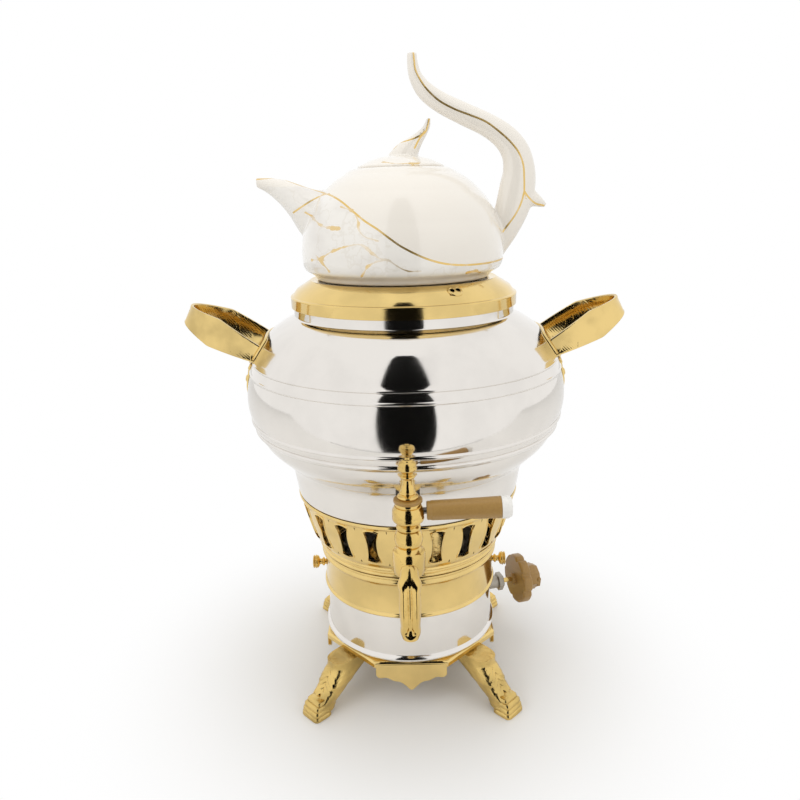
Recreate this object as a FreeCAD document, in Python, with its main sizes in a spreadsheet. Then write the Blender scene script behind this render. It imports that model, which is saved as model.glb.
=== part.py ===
import FreeCAD, Part
import math
import os
import Sketcher
from FreeCAD import Placement, Rotation, Vector

# A domestic gas samovar with a porcelain teapot on top.
# Millimetres, +Z up, the origin on the samovar's axis at the floor, the tap at -Y, the gas knob at +X.

SIZES = {
    # steel tank: heights above the floor and outer radii
    "wall": 1.2, "tank_foot_z": 176.0, "tank_foot_rad": 93.6,
    "neck_top_z": 197.0, "neck_top_rad": 96.9, "hollow_z": 208.5, "hollow_rad": 104.0,
    "flank_z": 218.5, "flank_rad": 114.0, "low_belly_z": 231.3, "low_belly_rad": 122.3,
    "belly_z": 262.0, "belly_rad": 130.2,
    "shoulder_z": 311.0, "shoulder_rad": 109.5, "collar_foot_z": 324.0, "collar_rad": 88.4,
    "collar_top_z": 334.0, "rib_high": 0.9, "rib_half": 1.3,
    "rib_one_z": 289.0, "rib_one_rad": 123.8, "rib_two_z": 281.0, "rib_two_rad": 126.6,
    "rib_three_z": 243.0, "rib_three_rad": 127.6, "rib_four_z": 235.0, "rib_four_rad": 125.0,
    "bottom_thick": 1.5, "bottom_flange": 3.4, "fit_gap": 0.3,
    # gilded top cover
    "skirt_drop": 3.0, "cover_edge_high": 7.5, "cover_edge_rad": 90.4, "cover_wall": 1.6,
    "cover_bend_high": 14.5, "cover_bend_rad": 85.0, "cover_high": 21.0, "cover_top_rad": 74.0,
    "cover_mouth_rad": 58.0, "ledge_depth": 2.6, "vent_boss_rad": 6.0, "vent_hole_rad": 1.7,
    "vent_turn": 27.0,
    # teapot and its lid
    "pot_wall": 3.5, "pot_foot_rad": 69.0, "pot_foot_high": 3.0, "pot_low_high": 7.0,
    "pot_low_rad": 77.0, "pot_belly_high": 17.0, "pot_belly_rad": 79.5, "pot_mid_high": 44.0,
    "pot_mid_rad": 75.0, "pot_high_high": 66.0, "pot_high_rad": 61.0, "pot_neck_high": 79.0,
    "pot_neck_rad": 44.0, "pot_mouth_high": 83.0, "pot_mouth_rad": 28.0,
    "lid_rad": 34.0, "lid_thick": 2.5, "lid_crown_high": 9.5, "lid_seat_rad": 12.0,
    "lid_register_rad": 23.0, "lid_register_deep": 2.8, "lid_register_wall": 2.5,
    # gilded vent ring under the tank
    "ring_wall": 1.5, "ring_top_z": 175.7, "ring_top_rad": 93.4, "ring_foot_z": 124.0,
    "ring_foot_rad": 77.0, "ring_waist_z": 135.5, "ring_waist_rad": 82.0, "bead": 1.2,
    "slot_pairs": 11.0, "slot_turn": -2.3, "slot_low_z": 140.0, "slot_high_z": 168.5,
    "slot_half": 5.6, "slot_waist_half": 3.6,
    # gilded band and steel drum
    "band_top_rad": 75.6, "band_rad": 74.4, "band_foot_z": 86.0, "band_wall": 1.5,
    "drum_top_z": 110.0, "drum_top_rad": 71.5, "drum_foot_rad": 73.6, "rim_z": 44.0,
    "rim_rad": 75.4, "rim_high": 6.0,
    # gilded base, legs and their screws
    "base_half": 74.0, "base_corner_out": 74.0, "base_thick": 3.0, "base_skirt": 9.0, "base_hole_rad": 54.0,
    "shield_half": 30.0, "shield_edge_z": 29.0, "shield_tip_z": 16.5, "shield_thick": 3.5,
    "foot_out": 115.5, "foot_size": 11.0, "knee_out": 112.5, "knee_size": 20.0, "knee_z": 9.0,
    "calf_out": 101.5, "calf_size": 23.0, "calf_z": 17.0, "shin_out": 90.0, "shin_size": 23.0,
    "shin_z": 27.0, "hip_out": 75.5, "hip_long": 43.0, "hip_wide": 22.0,
    "leg_screw_out": 63.0, "leg_screw_rad": 2.0, "leg_screw_long": 14.0, "head_rad": 3.8,
    "head_high": 2.4,
    # side handles and their brackets
    "grip_reach": 62.0, "grip_half": 31.0, "grip_wall": 2.6, "grip_root": 121.0,
    "grip_root_z": 299.0, "grip_rise": 27.0, "grip_root_high": 12.0, "grip_mid_high": 24.0,
    "grip_tip_high": 15.0, "bracket_thick": 2.2, "bracket_low_z": 256.0, "bracket_high_z": 311.0,
    "bracket_half": 34.0, "bracket_waist": 9.0, "rivet_rad": 2.0, "rivet_head_rad": 3.6,
    "rivet_head_high": 1.6, "rivet_one_z": 270.0, "rivet_two_z": 296.0,
    # tap
    "tap_out": 140.0, "tap_z": 190.0, "shank_rad": 6.5, "shank_bore": 4.0, "flange_rad": 11.0,
    "flange_thick": 2.5, "gasket_thick": 1.5, "nut_thick": 5.0, "nut_flat": 8.5,
    "shank_inside": 6.0, "barrel_rad": 11.0, "barrel_low_z": 165.0, "barrel_high_z": 183.0,
    "barrel_neck_rad": 9.3, "barrel_top_z": 197.5, "plug_low_rad": 4.6, "plug_high_rad": 5.8,
    "plug_gap": 0.05, "port_rad": 3.2, "spout_wide": 7.4, "spout_deep": 6.2, "spout_wall": 3.2,
    "spout_out": 17.0, "spout_low_z": 128.0, "spout_bend_z": 152.0, "lobe_rad": 4.6,
    "stud_rad": 2.5, "stud_long": 8.0, "cap_nut_rad": 4.4, "cap_nut_high": 4.0,
    "key_gap": 0.3, "key_rad": 10.6, "key_high": 20.0, "key_neck_rad": 5.4,
    "disc_rad": 9.8, "disc_thick": 2.4, "finial_foot_rad": 7.0, "finial_waist_rad": 4.2,
    "finial_knob_rad": 6.0, "finial_skirt_high": 13.0, "finial_high": 29.0,
    "lever_rod_rad": 2.2, "lever_start": 12.4, "lever_long": 50.0, "lever_low_rad": 6.4,
    "lever_high_rad": 7.6, "lever_tilt": 3.0, "lever_cap_long": 7.0, "lever_screw_rad": 2.2,
    "lever_screw_high": 1.0,
    # thumbscrews that hold the tank on the drum
    "thumb_z": 98.0, "thumb_head_rad": 5.2, "thumb_head_thick": 4.2, "thumb_rad": 2.4,
    "thumb_reach": 8.0, "thumb_nut_rad": 4.6, "thumb_nut_thick": 3.0,
    # gas valve and burner
    "valve_turn": 16.0, "valve_z": 60.0, "valve_rad": 6.0,
    "valve_inside": 14.0, "valve_neck": 17.0, "valve_nut_thick": 5.5, "valve_nut_flat": 7.5,
    "stem_rad": 2.2, "knob_gap": 14.0, "knob_rad": 23.0, "knob_thick": 9.0, "knob_lobes": 8.0,
    "knob_lobe_rad": 5.0, "boss_rad": 12.5, "boss_long": 14.0,
    "tray_thick": 1.2, "burner_z": 96.0, "burner_rad": 36.0,
    "burner_high": 14.0, "burner_wall": 2.0, "burner_cap_thick": 4.0, "port_count": 24.0,
    "flame_port_rad": 1.2, "mixer_rad": 7.0, "mixer_wall": 1.2, "mixer_low_z": 66.0,
    "post_rad": 3.0, "post_out": 26.0, "pipe_rad": 3.0, "pipe_bore": 2.0,
    "inlet_rad": 5.0, "inlet_bore": 2.6, "inlet_long": 26.0, "inlet_collar_rad": 8.0,
    "inlet_collar_thick": 3.0, "inlet_z": 64.0,
}

# heights that stand on the sizes above
HEIGHTS = {
    "cover_skirt_z": "collar_top_z - skirt_drop",
    "cover_edge_z": "cover_skirt_z + cover_edge_high",
    "cover_bend_z": "cover_skirt_z + cover_bend_high",
    "cover_top_z": "cover_skirt_z + cover_high",
    "pot_low_z": "cover_top_z + pot_low_high",
    "pot_belly_z": "cover_top_z + pot_belly_high",
    "pot_mid_z": "cover_top_z + pot_mid_high",
    "pot_high_z": "cover_top_z + pot_high_high",
    "pot_neck_z": "cover_top_z + pot_neck_high",
    "pot_mouth_z": "cover_top_z + pot_mouth_high",
    "lid_crown_z": "pot_mouth_z + lid_crown_high",
}

doc = FreeCAD.newDocument("samovar")
sheet = doc.addObject("Spreadsheet::Sheet", "dims")
cells = [(name, str(number)) for name, number in SIZES.items()]
cells += [(name, "=" + text) for name, text in HEIGHTS.items()]
for row, (name, entry) in enumerate(cells, start=1):
    sheet.set("A%d" % row, name)
    sheet.set("B%d" % row, entry)
    sheet.setAlias("B%d" % row, name)
doc.recompute()

NODES = {}


def factor(word):
    if word in HEIGHTS:
        return value(HEIGHTS[word])
    return SIZES[word] if word in SIZES else float(word)


def value(text):
    """The number that a sum such as 'belly_rad - wall' stands for."""
    total = 0.0
    sign = 1.0
    for word in str(text).split():
        if word in "+-":
            sign = 1.0 if word == "+" else -1.0
            continue
        product = sign
        for part in word.split("*"):
            product *= factor(part)
        total += product
    return total


def bound(text):
    """The same sum, written over the sheet's cells."""
    words = []
    for word in str(text).split():
        parts = ["dims." + part if part in SIZES or part in HEIGHTS else part
                 for part in word.split("*")]
        words.append("*".join(parts))
    return " ".join(words)


def node(shape_object, label):
    shape_object.Label = label
    NODES[label] = shape_object
    return shape_object


def plane(body, role):
    return next(f for f in body.Origin.OriginFeatures if f.Role == role)


def new_sketch(body, role, name):
    sketch = body.newObject("Sketcher::SketchObject", name)
    sketch.AttachmentSupport = [(plane(body, role), "")]
    sketch.MapMode = "FlatFace"
    return sketch


def pin_vertex(sketch, index, across, along):
    """Holds a segment's start at two sums of the sheet's cells."""
    if abs(value(across)) < 1e-9:
        sketch.addConstraint(Sketcher.Constraint("PointOnObject", index, 1, -2))
    else:
        pin = sketch.addConstraint(Sketcher.Constraint("DistanceX", -1, 1, index, 1, value(across)))
        sketch.setExpression("Constraints[%d]" % pin, bound(across))
    if abs(value(along)) < 1e-9:
        sketch.addConstraint(Sketcher.Constraint("PointOnObject", index, 1, -1))
    else:
        pin = sketch.addConstraint(Sketcher.Constraint("DistanceY", -1, 1, index, 1, value(along)))
        sketch.setExpression("Constraints[%d]" % pin, bound(along))


def draw(sketch, outline):
    """Draws a closed outline; a point's third entry is the bulge of the arc that leaves it."""
    count = len(outline)
    spots = [Vector(value(p[0]), value(p[1]), 0) for p in outline]
    for i, point in enumerate(outline):
        start, end = spots[i], spots[(i + 1) % count]
        bulge = value(point[2]) if len(point) > 2 else 0.0
        if bulge:
            chord = end - start
            side = Vector(chord.y, -chord.x, 0).normalize()
            middle = (start + end) * 0.5 + side * bulge
            arc = Part.ArcOfCircle(start, middle, end)
            turned_back = arc.Circle.Axis.z < 0
            sketch.addGeometry(arc, False)
            ARC_FLIPS[(sketch.Name, i)] = turned_back
        else:
            sketch.addGeometry(Part.LineSegment(start, end), False)
    for i, point in enumerate(outline):
        flipped = ARC_FLIPS.get((sketch.Name, i), False)
        before = (i - 1) % count
        before_flipped = ARC_FLIPS.get((sketch.Name, before), False)
        sketch.addConstraint(Sketcher.Constraint(
            "Coincident", before, 1 if before_flipped else 2, i, 2 if flipped else 1))
    for i, point in enumerate(outline):
        if ARC_FLIPS.get((sketch.Name, i), False):
            pin_end(sketch, i, point)
        else:
            pin_vertex(sketch, i, point[0], point[1])


ARC_FLIPS = {}


def pin_end(sketch, index, point):
    for kind, text in (("DistanceX", point[0]), ("DistanceY", point[1])):
        pin = sketch.addConstraint(Sketcher.Constraint(kind, -1, 1, index, 2, value(text)))
        sketch.setExpression("Constraints[%d]" % pin, bound(text))


def turned(label, outline, place=None, slot=None):
    """A turned piece: an outline of (radius, height) spun about the vertical axis."""
    body = doc.addObject("PartDesign::Body", label)
    sketch = new_sketch(body, "XZ_Plane", label + "_outline")
    draw(sketch, outline)
    spin = body.newObject("PartDesign::Revolution", label + "_spin")
    spin.Profile = sketch
    spin.ReferenceAxis = (sketch, ["V_Axis"])
    spin.Angle = 360.0
    doc.recompute()
    if slot:
        slot(body)
    if place:
        body.Placement = place
    return node(body, label)


def rod(radius, length, base, direction, bore=None):
    """A plain round bar or tube, from its base point along a direction."""
    bar = doc.addObject("Part::Cylinder", "bar")
    bar.setExpression("Radius", bound(radius))
    bar.setExpression("Height", bound(length))
    bar.Placement = Placement(base, Rotation(Vector(0, 0, 1), direction))
    if bore is None:
        return bar
    hole = doc.addObject("Part::Cylinder", "bore")
    hole.setExpression("Radius", bound(bore))
    hole.setExpression("Height", bound(length))
    hole.Placement = bar.Placement
    return cut(bar, hole)


def cut(base, tool):
    result = doc.addObject("Part::Cut", "cut")
    result.Base = base
    result.Tool = tool
    return result


def fuse(*pieces):
    result = doc.addObject("Part::MultiFuse", "joined")
    result.Shapes = list(pieces)
    return result


def hexagon(flat, length, base, direction, bore):
    bar = doc.addObject("Part::Prism", "nut_blank")
    bar.Polygon = 6
    bar.setExpression("Circumradius", bound(flat) + " / cos(30deg)")
    bar.setExpression("Height", bound(length))
    bar.Placement = Placement(base, Rotation(Vector(0, 0, 1), direction))
    return cut(bar, rod(bore, length, base, direction))


def free_form(label, shape):
    piece = doc.addObject("Part::Feature", label)
    piece.Shape = shape
    return node(piece, label)


S = SIZES
FRONT = Vector(0, -1, 0)
UP = Vector(0, 0, 1)


def rib(name, after):
    """A small rounded bead round the belly, with the bulge of the wall that follows it."""
    return [(name + "_rad", name + "_z - rib_half", "rib_high"),
            (name + "_rad", name + "_z + rib_half", after)]


def belly_outer():
    """The belly from its flank to its shoulder."""
    return [
        ("flank_rad", "flank_z", "0.8"), ("low_belly_rad", "low_belly_z", "0.1"),
        *rib("rib_four", "0.2"), *rib("rib_three", "0.9"), ("belly_rad", "belly_z", "0.8"),
        *rib("rib_two", "0.2"), *rib("rib_one", "1.0"), ("shoulder_rad", "shoulder_z", "0.9"),
        ("collar_rad", "collar_foot_z"),
    ]


def tank_outer():
    """The tank's outside from its foot to its collar, each entry with the bulge that follows it."""
    return [
        ("tank_foot_rad", "tank_foot_z"), ("neck_top_rad", "neck_top_z", "-1.2"),
        ("hollow_rad", "hollow_z"), *belly_outer(), ("collar_rad", "collar_top_z"),
    ]


def lining(outer, thickness):
    """The same wall's inside, walked back down."""
    back = []
    for i in range(len(outer) - 1, -1, -1):
        bulge = outer[i - 1][2] if i and len(outer[i - 1]) > 2 else None
        point = (outer[i][0] + " - " + thickness, outer[i][1])
        if bulge:
            flipped = bulge[1:] if bulge.startswith("-") else "-1*" + bulge
            point = point + (flipped,)
        back.append(point)
    return back


def side_bore(body, label, height, radius, turn):
    """A round hole through one side wall, at a height and an angle from the front."""
    sketch = new_sketch(body, "XZ_Plane", label)
    sketch.AttachmentOffset = Placement(Vector(0, 0, 0), Rotation(Vector(0, 1, 0), turn))
    sketch.addGeometry(Part.Circle(Vector(0, value(height), 0), UP, value(radius)), False)
    sketch.addConstraint(Sketcher.Constraint("PointOnObject", 0, 3, -2))
    pin = sketch.addConstraint(Sketcher.Constraint("DistanceY", -1, 1, 0, 3, value(height)))
    sketch.setExpression("Constraints[%d]" % pin, bound(height))
    pin = sketch.addConstraint(Sketcher.Constraint("Radius", 0, value(radius)))
    sketch.setExpression("Constraints[%d]" % pin, bound(radius))
    doc.recompute()
    before = body.Shape.Volume
    pocket = body.newObject("PartDesign::Pocket", label + "_cut")
    pocket.Profile = sketch
    pocket.Type = 0
    pocket.Length = 150.0
    pocket.Reversed = True
    doc.recompute()
    if not body.Shape.Volume < before:
        pocket.Reversed = False
        doc.recompute()
    return pocket


def make_tank():
    def holes(body):
        side_bore(body, "shank_hole", "tap_z", "shank_rad + fit_gap", 0)

    turned("tank_shell", tank_outer() + lining(tank_outer(), "wall"), slot=holes)
    inner = "tank_foot_rad - wall - fit_gap"
    turned("tank_bottom", [
        ("0", "tank_foot_z + fit_gap"), (inner, "tank_foot_z + fit_gap"),
        (inner, "tank_foot_z + bottom_flange"),
        (inner + " - bottom_thick", "tank_foot_z + bottom_flange"),
        (inner + " - bottom_thick", "tank_foot_z + fit_gap + bottom_thick"),
        ("0", "tank_foot_z + fit_gap + bottom_thick"),
    ])


def vent_place():
    """A place on the cover's cone, with its own outward direction."""
    turn = math.radians(S["vent_turn"])
    rise = value("cover_top_z") - value("cover_bend_z")
    run = S["cover_bend_rad"] - S["cover_top_rad"]
    length = math.hypot(rise, run)
    out = Vector(math.sin(turn), -math.cos(turn), 0)
    radius = 0.5 * (S["cover_bend_rad"] + S["cover_top_rad"])
    middle = out * radius + UP * (0.5 * (value("cover_top_z") + value("cover_bend_z")))
    return middle, out * (rise / length) + UP * (run / length), Vector(out.y, -out.x, 0)


def make_cover():
    shell = turned("cover_shell", [
        ("cover_edge_rad", "cover_skirt_z"), ("cover_edge_rad", "cover_edge_z", "0.7"),
        ("cover_bend_rad", "cover_bend_z"), ("cover_top_rad", "cover_top_z"),
        ("cover_mouth_rad", "cover_top_z"),
        ("cover_mouth_rad", "cover_top_z - cover_wall"),
        ("cover_top_rad - 0.5*cover_wall", "cover_top_z - cover_wall"),
        ("cover_bend_rad - cover_wall", "cover_bend_z - 0.5*cover_wall"),
        ("cover_edge_rad - 2.2*cover_wall", "cover_edge_z"),
        ("collar_rad - ledge_depth", "collar_top_z + cover_wall"),
        ("collar_rad - ledge_depth", "collar_top_z"),
        ("collar_rad + fit_gap", "collar_top_z"),
        ("collar_rad + fit_gap", "cover_skirt_z"),
    ])
    NODES.pop("cover_shell")
    middle, out, across = vent_place()
    sunk = "2.4*cover_wall"
    boss = rod("vent_boss_rad", sunk + " + 1.0", middle - out * (value(sunk) * 0.5), out)
    joined = fuse(shell, boss)
    holes = []
    for side in (-1, 1):
        spot = middle + across * (side * S["vent_boss_rad"] * 0.45) - out * 6.0
        holes.append(rod("vent_hole_rad", "12.0", spot, out))
    node(cut(joined, fuse(*holes)), "top_cover")


def pot_outer():
    return [
        ("pot_foot_rad", "cover_top_z"), ("pot_foot_rad", "cover_top_z + pot_foot_high"),
        ("pot_low_rad", "pot_low_z", "1.0"), ("pot_belly_rad", "pot_belly_z", "1.6"),
        ("pot_mid_rad", "pot_mid_z", "1.6"), ("pot_high_rad", "pot_high_z", "1.2"),
        ("pot_neck_rad", "pot_neck_z", "0.7"), ("lid_rad + 1.0", "pot_mouth_z"),
    ]


def revolve(outline):
    """A turned solid built straight from its outline, for a free form that grows out of it."""
    edges = []
    spots = [Vector(value(p[0]), 0, value(p[1])) for p in outline]
    for i, point in enumerate(outline):
        start, end = spots[i], spots[(i + 1) % len(spots)]
        bulge = value(point[2]) if len(point) > 2 else 0.0
        if bulge:
            chord = end - start
            side = Vector(chord.z, 0, -chord.x).normalize()
            edges.append(Part.Arc(start, (start + end) * 0.5 + side * bulge, end).toShape())
        else:
            edges.append(Part.LineSegment(start, end).toShape())
    return Part.Face(Part.Wire(edges)).revolve(Vector(), UP, 360)


def oval(centre, normal, along, half_along, half_across):
    """An ellipse about a point, square to a direction, its longer half-axis along another."""
    top = centre + Vector(along) * max(half_along, half_across + 0.05)
    side = centre + normal.cross(along) * half_across
    return Part.Wire(Part.Ellipse(top, side, centre).toShape())


def horn(sections, upright=False):
    """A round form lofted through ovals, each (x, z, half high, half wide), square to its path."""
    spots = [Vector(across, 0, height) for across, height, high, wide in sections]
    rings = []
    for i, (across, height, high, wide) in enumerate(sections):
        ahead = spots[min(i + 1, len(spots) - 1)] - spots[max(i - 1, 0)]
        normal = Vector(-1, 0, 0) if upright else ahead.normalize()
        along = Vector(-normal.z, 0, normal.x)
        rings.append(oval(spots[i], normal, along, high, wide))
    return Part.makeLoft(rings, True, False)


def spout_sections(shrink):
    """The pouring lip, from inside the pot out to its tip, as heights above the pot's foot."""
    foot = value("cover_top_z")
    belly = S["pot_belly_rad"]
    plan = (
        (-0.60 * belly, 43.0, 25.0, 24.0), (-0.85 * belly, 45.0, 24.0, 23.0),
        (-0.5 - belly, 54.5, 18.9, 18.0), (-8.5 - belly, 62.5, 13.4, 13.0),
        (-16.5 - belly, 68.3, 9.2, 9.0), (-25.0 - belly, 72.6, 5.6, 5.5),
        (-34.0 - belly, 75.2, 3.0, 2.9),
    )
    return [(x, foot + z, h - shrink(h), w - shrink(w)) for x, z, h, w in plan]


def handle_sections():
    """The swan-neck handle, from its root in the pot's wall to its free upper end."""
    foot = value("cover_top_z")
    belly = S["pot_belly_rad"]
    plan = (
        (-4.5, 24.0, 9.0, 6.0), (2.0, 37.0, 11.5, 6.5), (7.5, 52.0, 13.5, 7.0),
        (11.0, 67.0, 14.0, 7.2), (12.0, 80.0, 12.5, 7.2), (8.8, 93.0, 11.0, 7.0),
        (0.5, 103.8, 9.6, 7.0), (-12.5, 112.6, 8.6, 7.0), (-30.5, 121.0, 8.2, 6.8),
        (-47.5, 129.2, 7.6, 6.4), (-59.5, 137.6, 6.8, 5.8), (-66.5, 147.0, 5.2, 4.8),
        (-69.0, 156.0, 4.1, 4.0), (-69.5, 166.0, 3.3, 3.2),
    )
    return [(belly + x, foot + z, h, w) for x, z, h, w in plan]


def make_teapot():
    outer = pot_outer()
    inner = lining(outer, "pot_wall")[:-2]
    cavity = revolve(
        [("0", "pot_low_z - 1.0"), (inner[-1][0], "pot_low_z - 1.0")]
        + [(p[0], p[1]) for p in reversed(inner)][1:-1]
        + [("pot_mouth_rad", "pot_mouth_z - pot_wall"), ("pot_mouth_rad", "pot_mouth_z + 5.0"),
           ("0", "pot_mouth_z + 5.0")])
    solid = revolve(outer + [("0", "pot_mouth_z"), ("0", "cover_top_z")])
    wall = S["pot_wall"]
    spout = horn(spout_sections(lambda half: 0.0), upright=True)
    channel = horn(spout_sections(lambda half: min(0.8 * wall, 0.42 * half)), upright=True)
    foot = value("cover_top_z")
    thorn = horn([(90.0, foot + 61.0, 10.0, 6.0), (100.0, foot + 59.0, 7.0, 4.6),
                  (107.5, foot + 55.6, 3.8, 3.0), (113.6, foot + 52.4, 1.0, 0.9)])
    pot = solid.fuse([spout, horn(handle_sections()), thorn])
    mouth = Part.makeBox(8, 30, 40, Vector(-S["pot_belly_rad"] - 41.0, -15, value("cover_top_z") + 60))
    pot = pot.cut([cavity, channel, mouth]).removeSplitter()
    free_form("teapot_body", pot.Solids[0])

    seat = "pot_mouth_z + fit_gap"
    lid = revolve([
        ("0", "lid_crown_z"), ("lid_seat_rad", "lid_crown_z - 0.6", "0.9"), ("lid_rad", seat),
        ("pot_mouth_rad - fit_gap", seat), ("lid_register_rad", seat + " - lid_register_deep"),
        ("lid_register_rad - lid_register_wall", seat + " - lid_register_deep"),
        ("lid_register_rad - lid_register_wall", seat + " + 1.0"),
        ("lid_seat_rad", "lid_crown_z - 0.6 - lid_thick"), ("0", "lid_crown_z - lid_thick"),
    ])
    base = value("lid_crown_z")
    rings = []
    for height, across, half, deep in ((-1.5, 1.0, 12.0, 9.0), (3.0, 3.6, 11.0, 7.5),
                                       (8.5, 8.0, 9.6, 5.5), (15.2, 15.7, 5.6, 3.6),
                                       (20.0, 20.3, 2.9, 2.2), (27.3, 22.2, 1.2, 1.0)):
        rings.append(oval(Vector(across, 0, base + height), UP, Vector(1, 0, 0), half, deep))
    flame = Part.makeLoft(rings, True, False)
    free_form("teapot_lid", lid.fuse(flame).removeSplitter().Solids[0])


def ring_outer():
    return [
        ("ring_foot_rad", "ring_foot_z"), ("ring_foot_rad", "ring_foot_z + 3.0", "bead"),
        ("ring_foot_rad + 1.5", "ring_foot_z + 7.5"), ("ring_waist_rad", "ring_waist_z"),
        ("ring_top_rad - 1.5", "ring_top_z - 5.0", "0.8"), ("ring_top_rad", "ring_top_z"),
    ]


def cut_slots(body):
    """Hourglass slots, cut through both sides at once and repeated round the ring."""
    sketch = new_sketch(body, "XZ_Plane", "slot_outline")
    low, high = value("slot_low_z"), value("slot_high_z")
    half, waist = S["slot_half"], S["slot_waist_half"]
    middle = 0.5 * (low + high)
    spots = [Vector(-half, low, 0), Vector(half, low, 0), Vector(half, high, 0), Vector(-half, high, 0)]
    mids = [Vector(0, low - 1.6, 0), Vector(waist, middle, 0), Vector(0, high + 1.6, 0),
            Vector(-waist, middle, 0)]
    for i in range(4):
        sketch.addGeometry(Part.ArcOfCircle(spots[i], mids[i], spots[(i + 1) % 4]), False)
    sketch.AttachmentOffset = Placement(Vector(0, 0, 0), Rotation(Vector(0, 1, 0), S["slot_turn"]))
    doc.recompute()
    pocket = body.newObject("PartDesign::Pocket", "slot_cut")
    pocket.Profile = sketch
    pocket.Type = 1
    pocket.Midplane = True
    doc.recompute()
    pattern = body.newObject("PartDesign::PolarPattern", "slot_pattern")
    pattern.Originals = [pocket]
    pattern.Axis = (plane(body, "Z_Axis"), [""])
    pattern.Angle = 180.0 - 180.0 / S["slot_pairs"]
    pattern.Occurrences = int(S["slot_pairs"])
    body.Tip = pattern
    doc.recompute()


def make_ring_and_drum():
    turned("vent_ring", ring_outer() + lining(ring_outer(), "ring_wall"), slot=cut_slots)
    thumb_hole = "thumb_rad + fit_gap"

    def band_holes(body):
        side_bore(body, "band_hole_one", "thumb_z", thumb_hole, 90)
        side_bore(body, "band_hole_two", "thumb_z", thumb_hole, -90)

    top = "ring_foot_z - fit_gap"
    outer = [
        ("band_rad + 1.0", "band_foot_z", "0.6"), ("band_rad", "band_foot_z + 4.0"),
        ("band_rad", top + " - 10.0"), ("band_top_rad + 0.9", top + " - 3.0", "0.8"),
        ("band_top_rad + 0.9", top),
    ]
    inner_top = "band_top_rad - band_wall"
    turned("drum_band", outer + [
        (inner_top, top), (inner_top, top + " - 3.0"),
        ("band_rad - band_wall", top + " - 10.0"), ("band_rad - band_wall", "band_foot_z"),
    ], slot=band_holes)

    def drum_holes(body):
        side_bore(body, "drum_hole_one", "thumb_z", thumb_hole, 90)
        side_bore(body, "drum_hole_two", "thumb_z", thumb_hole, -90)
        side_bore(body, "valve_hole", "valve_z", "valve_rad + fit_gap", 90 + S["valve_turn"])
        side_bore(body, "inlet_hole", "inlet_z", "inlet_rad + fit_gap", 180)

    outer = [
        ("drum_foot_rad - wall", "rim_z"), ("rim_rad - 0.3*rim_high", "rim_z", "0.2*rim_high"),
        ("rim_rad - 0.3*rim_high", "rim_z + rim_high"), ("drum_foot_rad", "rim_z + rim_high + 1.0"),
        ("drum_top_rad", "drum_top_z"),
    ]
    turned("base_drum", outer + [("drum_top_rad - wall", "drum_top_z"),
                                 ("drum_foot_rad - wall", "rim_z + rim_high + 1.0")],
           slot=drum_holes)


def make_base():
    half = S["base_half"]
    plate = doc.addObject("Part::Box", "plate")
    for side in ("Length", "Width"):
        plate.setExpression(side, "2 * dims.base_half")
    plate.setExpression("Height", "dims.base_thick")
    plate.Placement = Placement(Vector(-half, -half, value("rim_z - base_thick")), Rotation())
    block = doc.addObject("Part::Box", "skirt_block")
    for side in ("Length", "Width"):
        block.setExpression(side, "2 * dims.base_half")
    block.setExpression("Height", "dims.base_skirt")
    block.Placement = Placement(Vector(-half, -half, value("rim_z - base_skirt")), Rotation())
    room = doc.addObject("Part::Box", "skirt_room")
    inside = half - S["shield_thick"]
    for side in ("Length", "Width"):
        room.setExpression(side, "2 * dims.base_half - 2 * dims.shield_thick")
    room.setExpression("Height", "dims.base_skirt - dims.base_thick")
    room.Placement = Placement(Vector(-inside, -inside, value("rim_z - base_skirt")), Rotation())
    hole = rod("base_hole_rad", "base_thick + 2.0", Vector(0, 0, value("rim_z - base_thick") - 1), UP)
    shields = []
    for quarter in range(4):
        shields.append(make_shield(quarter))
    corner_rooms = []
    screw_holes = []
    for quarter in range(4):
        out = Vector(1, 0, 0)
        turn = Rotation(UP, 45 + 90 * quarter)
        spot = turn.multVec(out * S["leg_screw_out"]) + UP * value("rim_z - base_thick - 2.0")
        screw_holes.append(rod("leg_screw_rad + fit_gap", "base_thick + 4.0", spot, UP))
        room_box = doc.addObject("Part::Box", "corner_room")
        room_box.setExpression("Length", "dims.hip_long + 60")
        room_box.setExpression("Width", "dims.hip_wide + 2 * dims.fit_gap")
        room_box.setExpression("Height", "dims.base_skirt - dims.base_thick")
        shift = turn.multVec(Vector(S["hip_out"] - 0.5 * S["hip_long"], -0.5 * S["hip_wide"] - S["fit_gap"], 0))
        room_box.Placement = Placement(shift + UP * value("rim_z - base_skirt"), turn)
        corner_rooms.append(room_box)
        beyond = doc.addObject("Part::Box", "beyond_corner")
        beyond.setExpression("Length", "dims.base_half")
        beyond.setExpression("Width", "2 * dims.base_half")
        beyond.setExpression("Height", "dims.base_skirt + 2")
        shift = turn.multVec(Vector(S["base_corner_out"], -half, 0))
        beyond.Placement = Placement(shift + UP * value("rim_z - base_skirt - 1.0"), turn)
        corner_rooms.append(beyond)
    frame = cut(block, room)
    frame = cut(fuse(plate, frame, *shields), fuse(hole, *corner_rooms, *screw_holes))
    node(frame, "base_frame")


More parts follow.
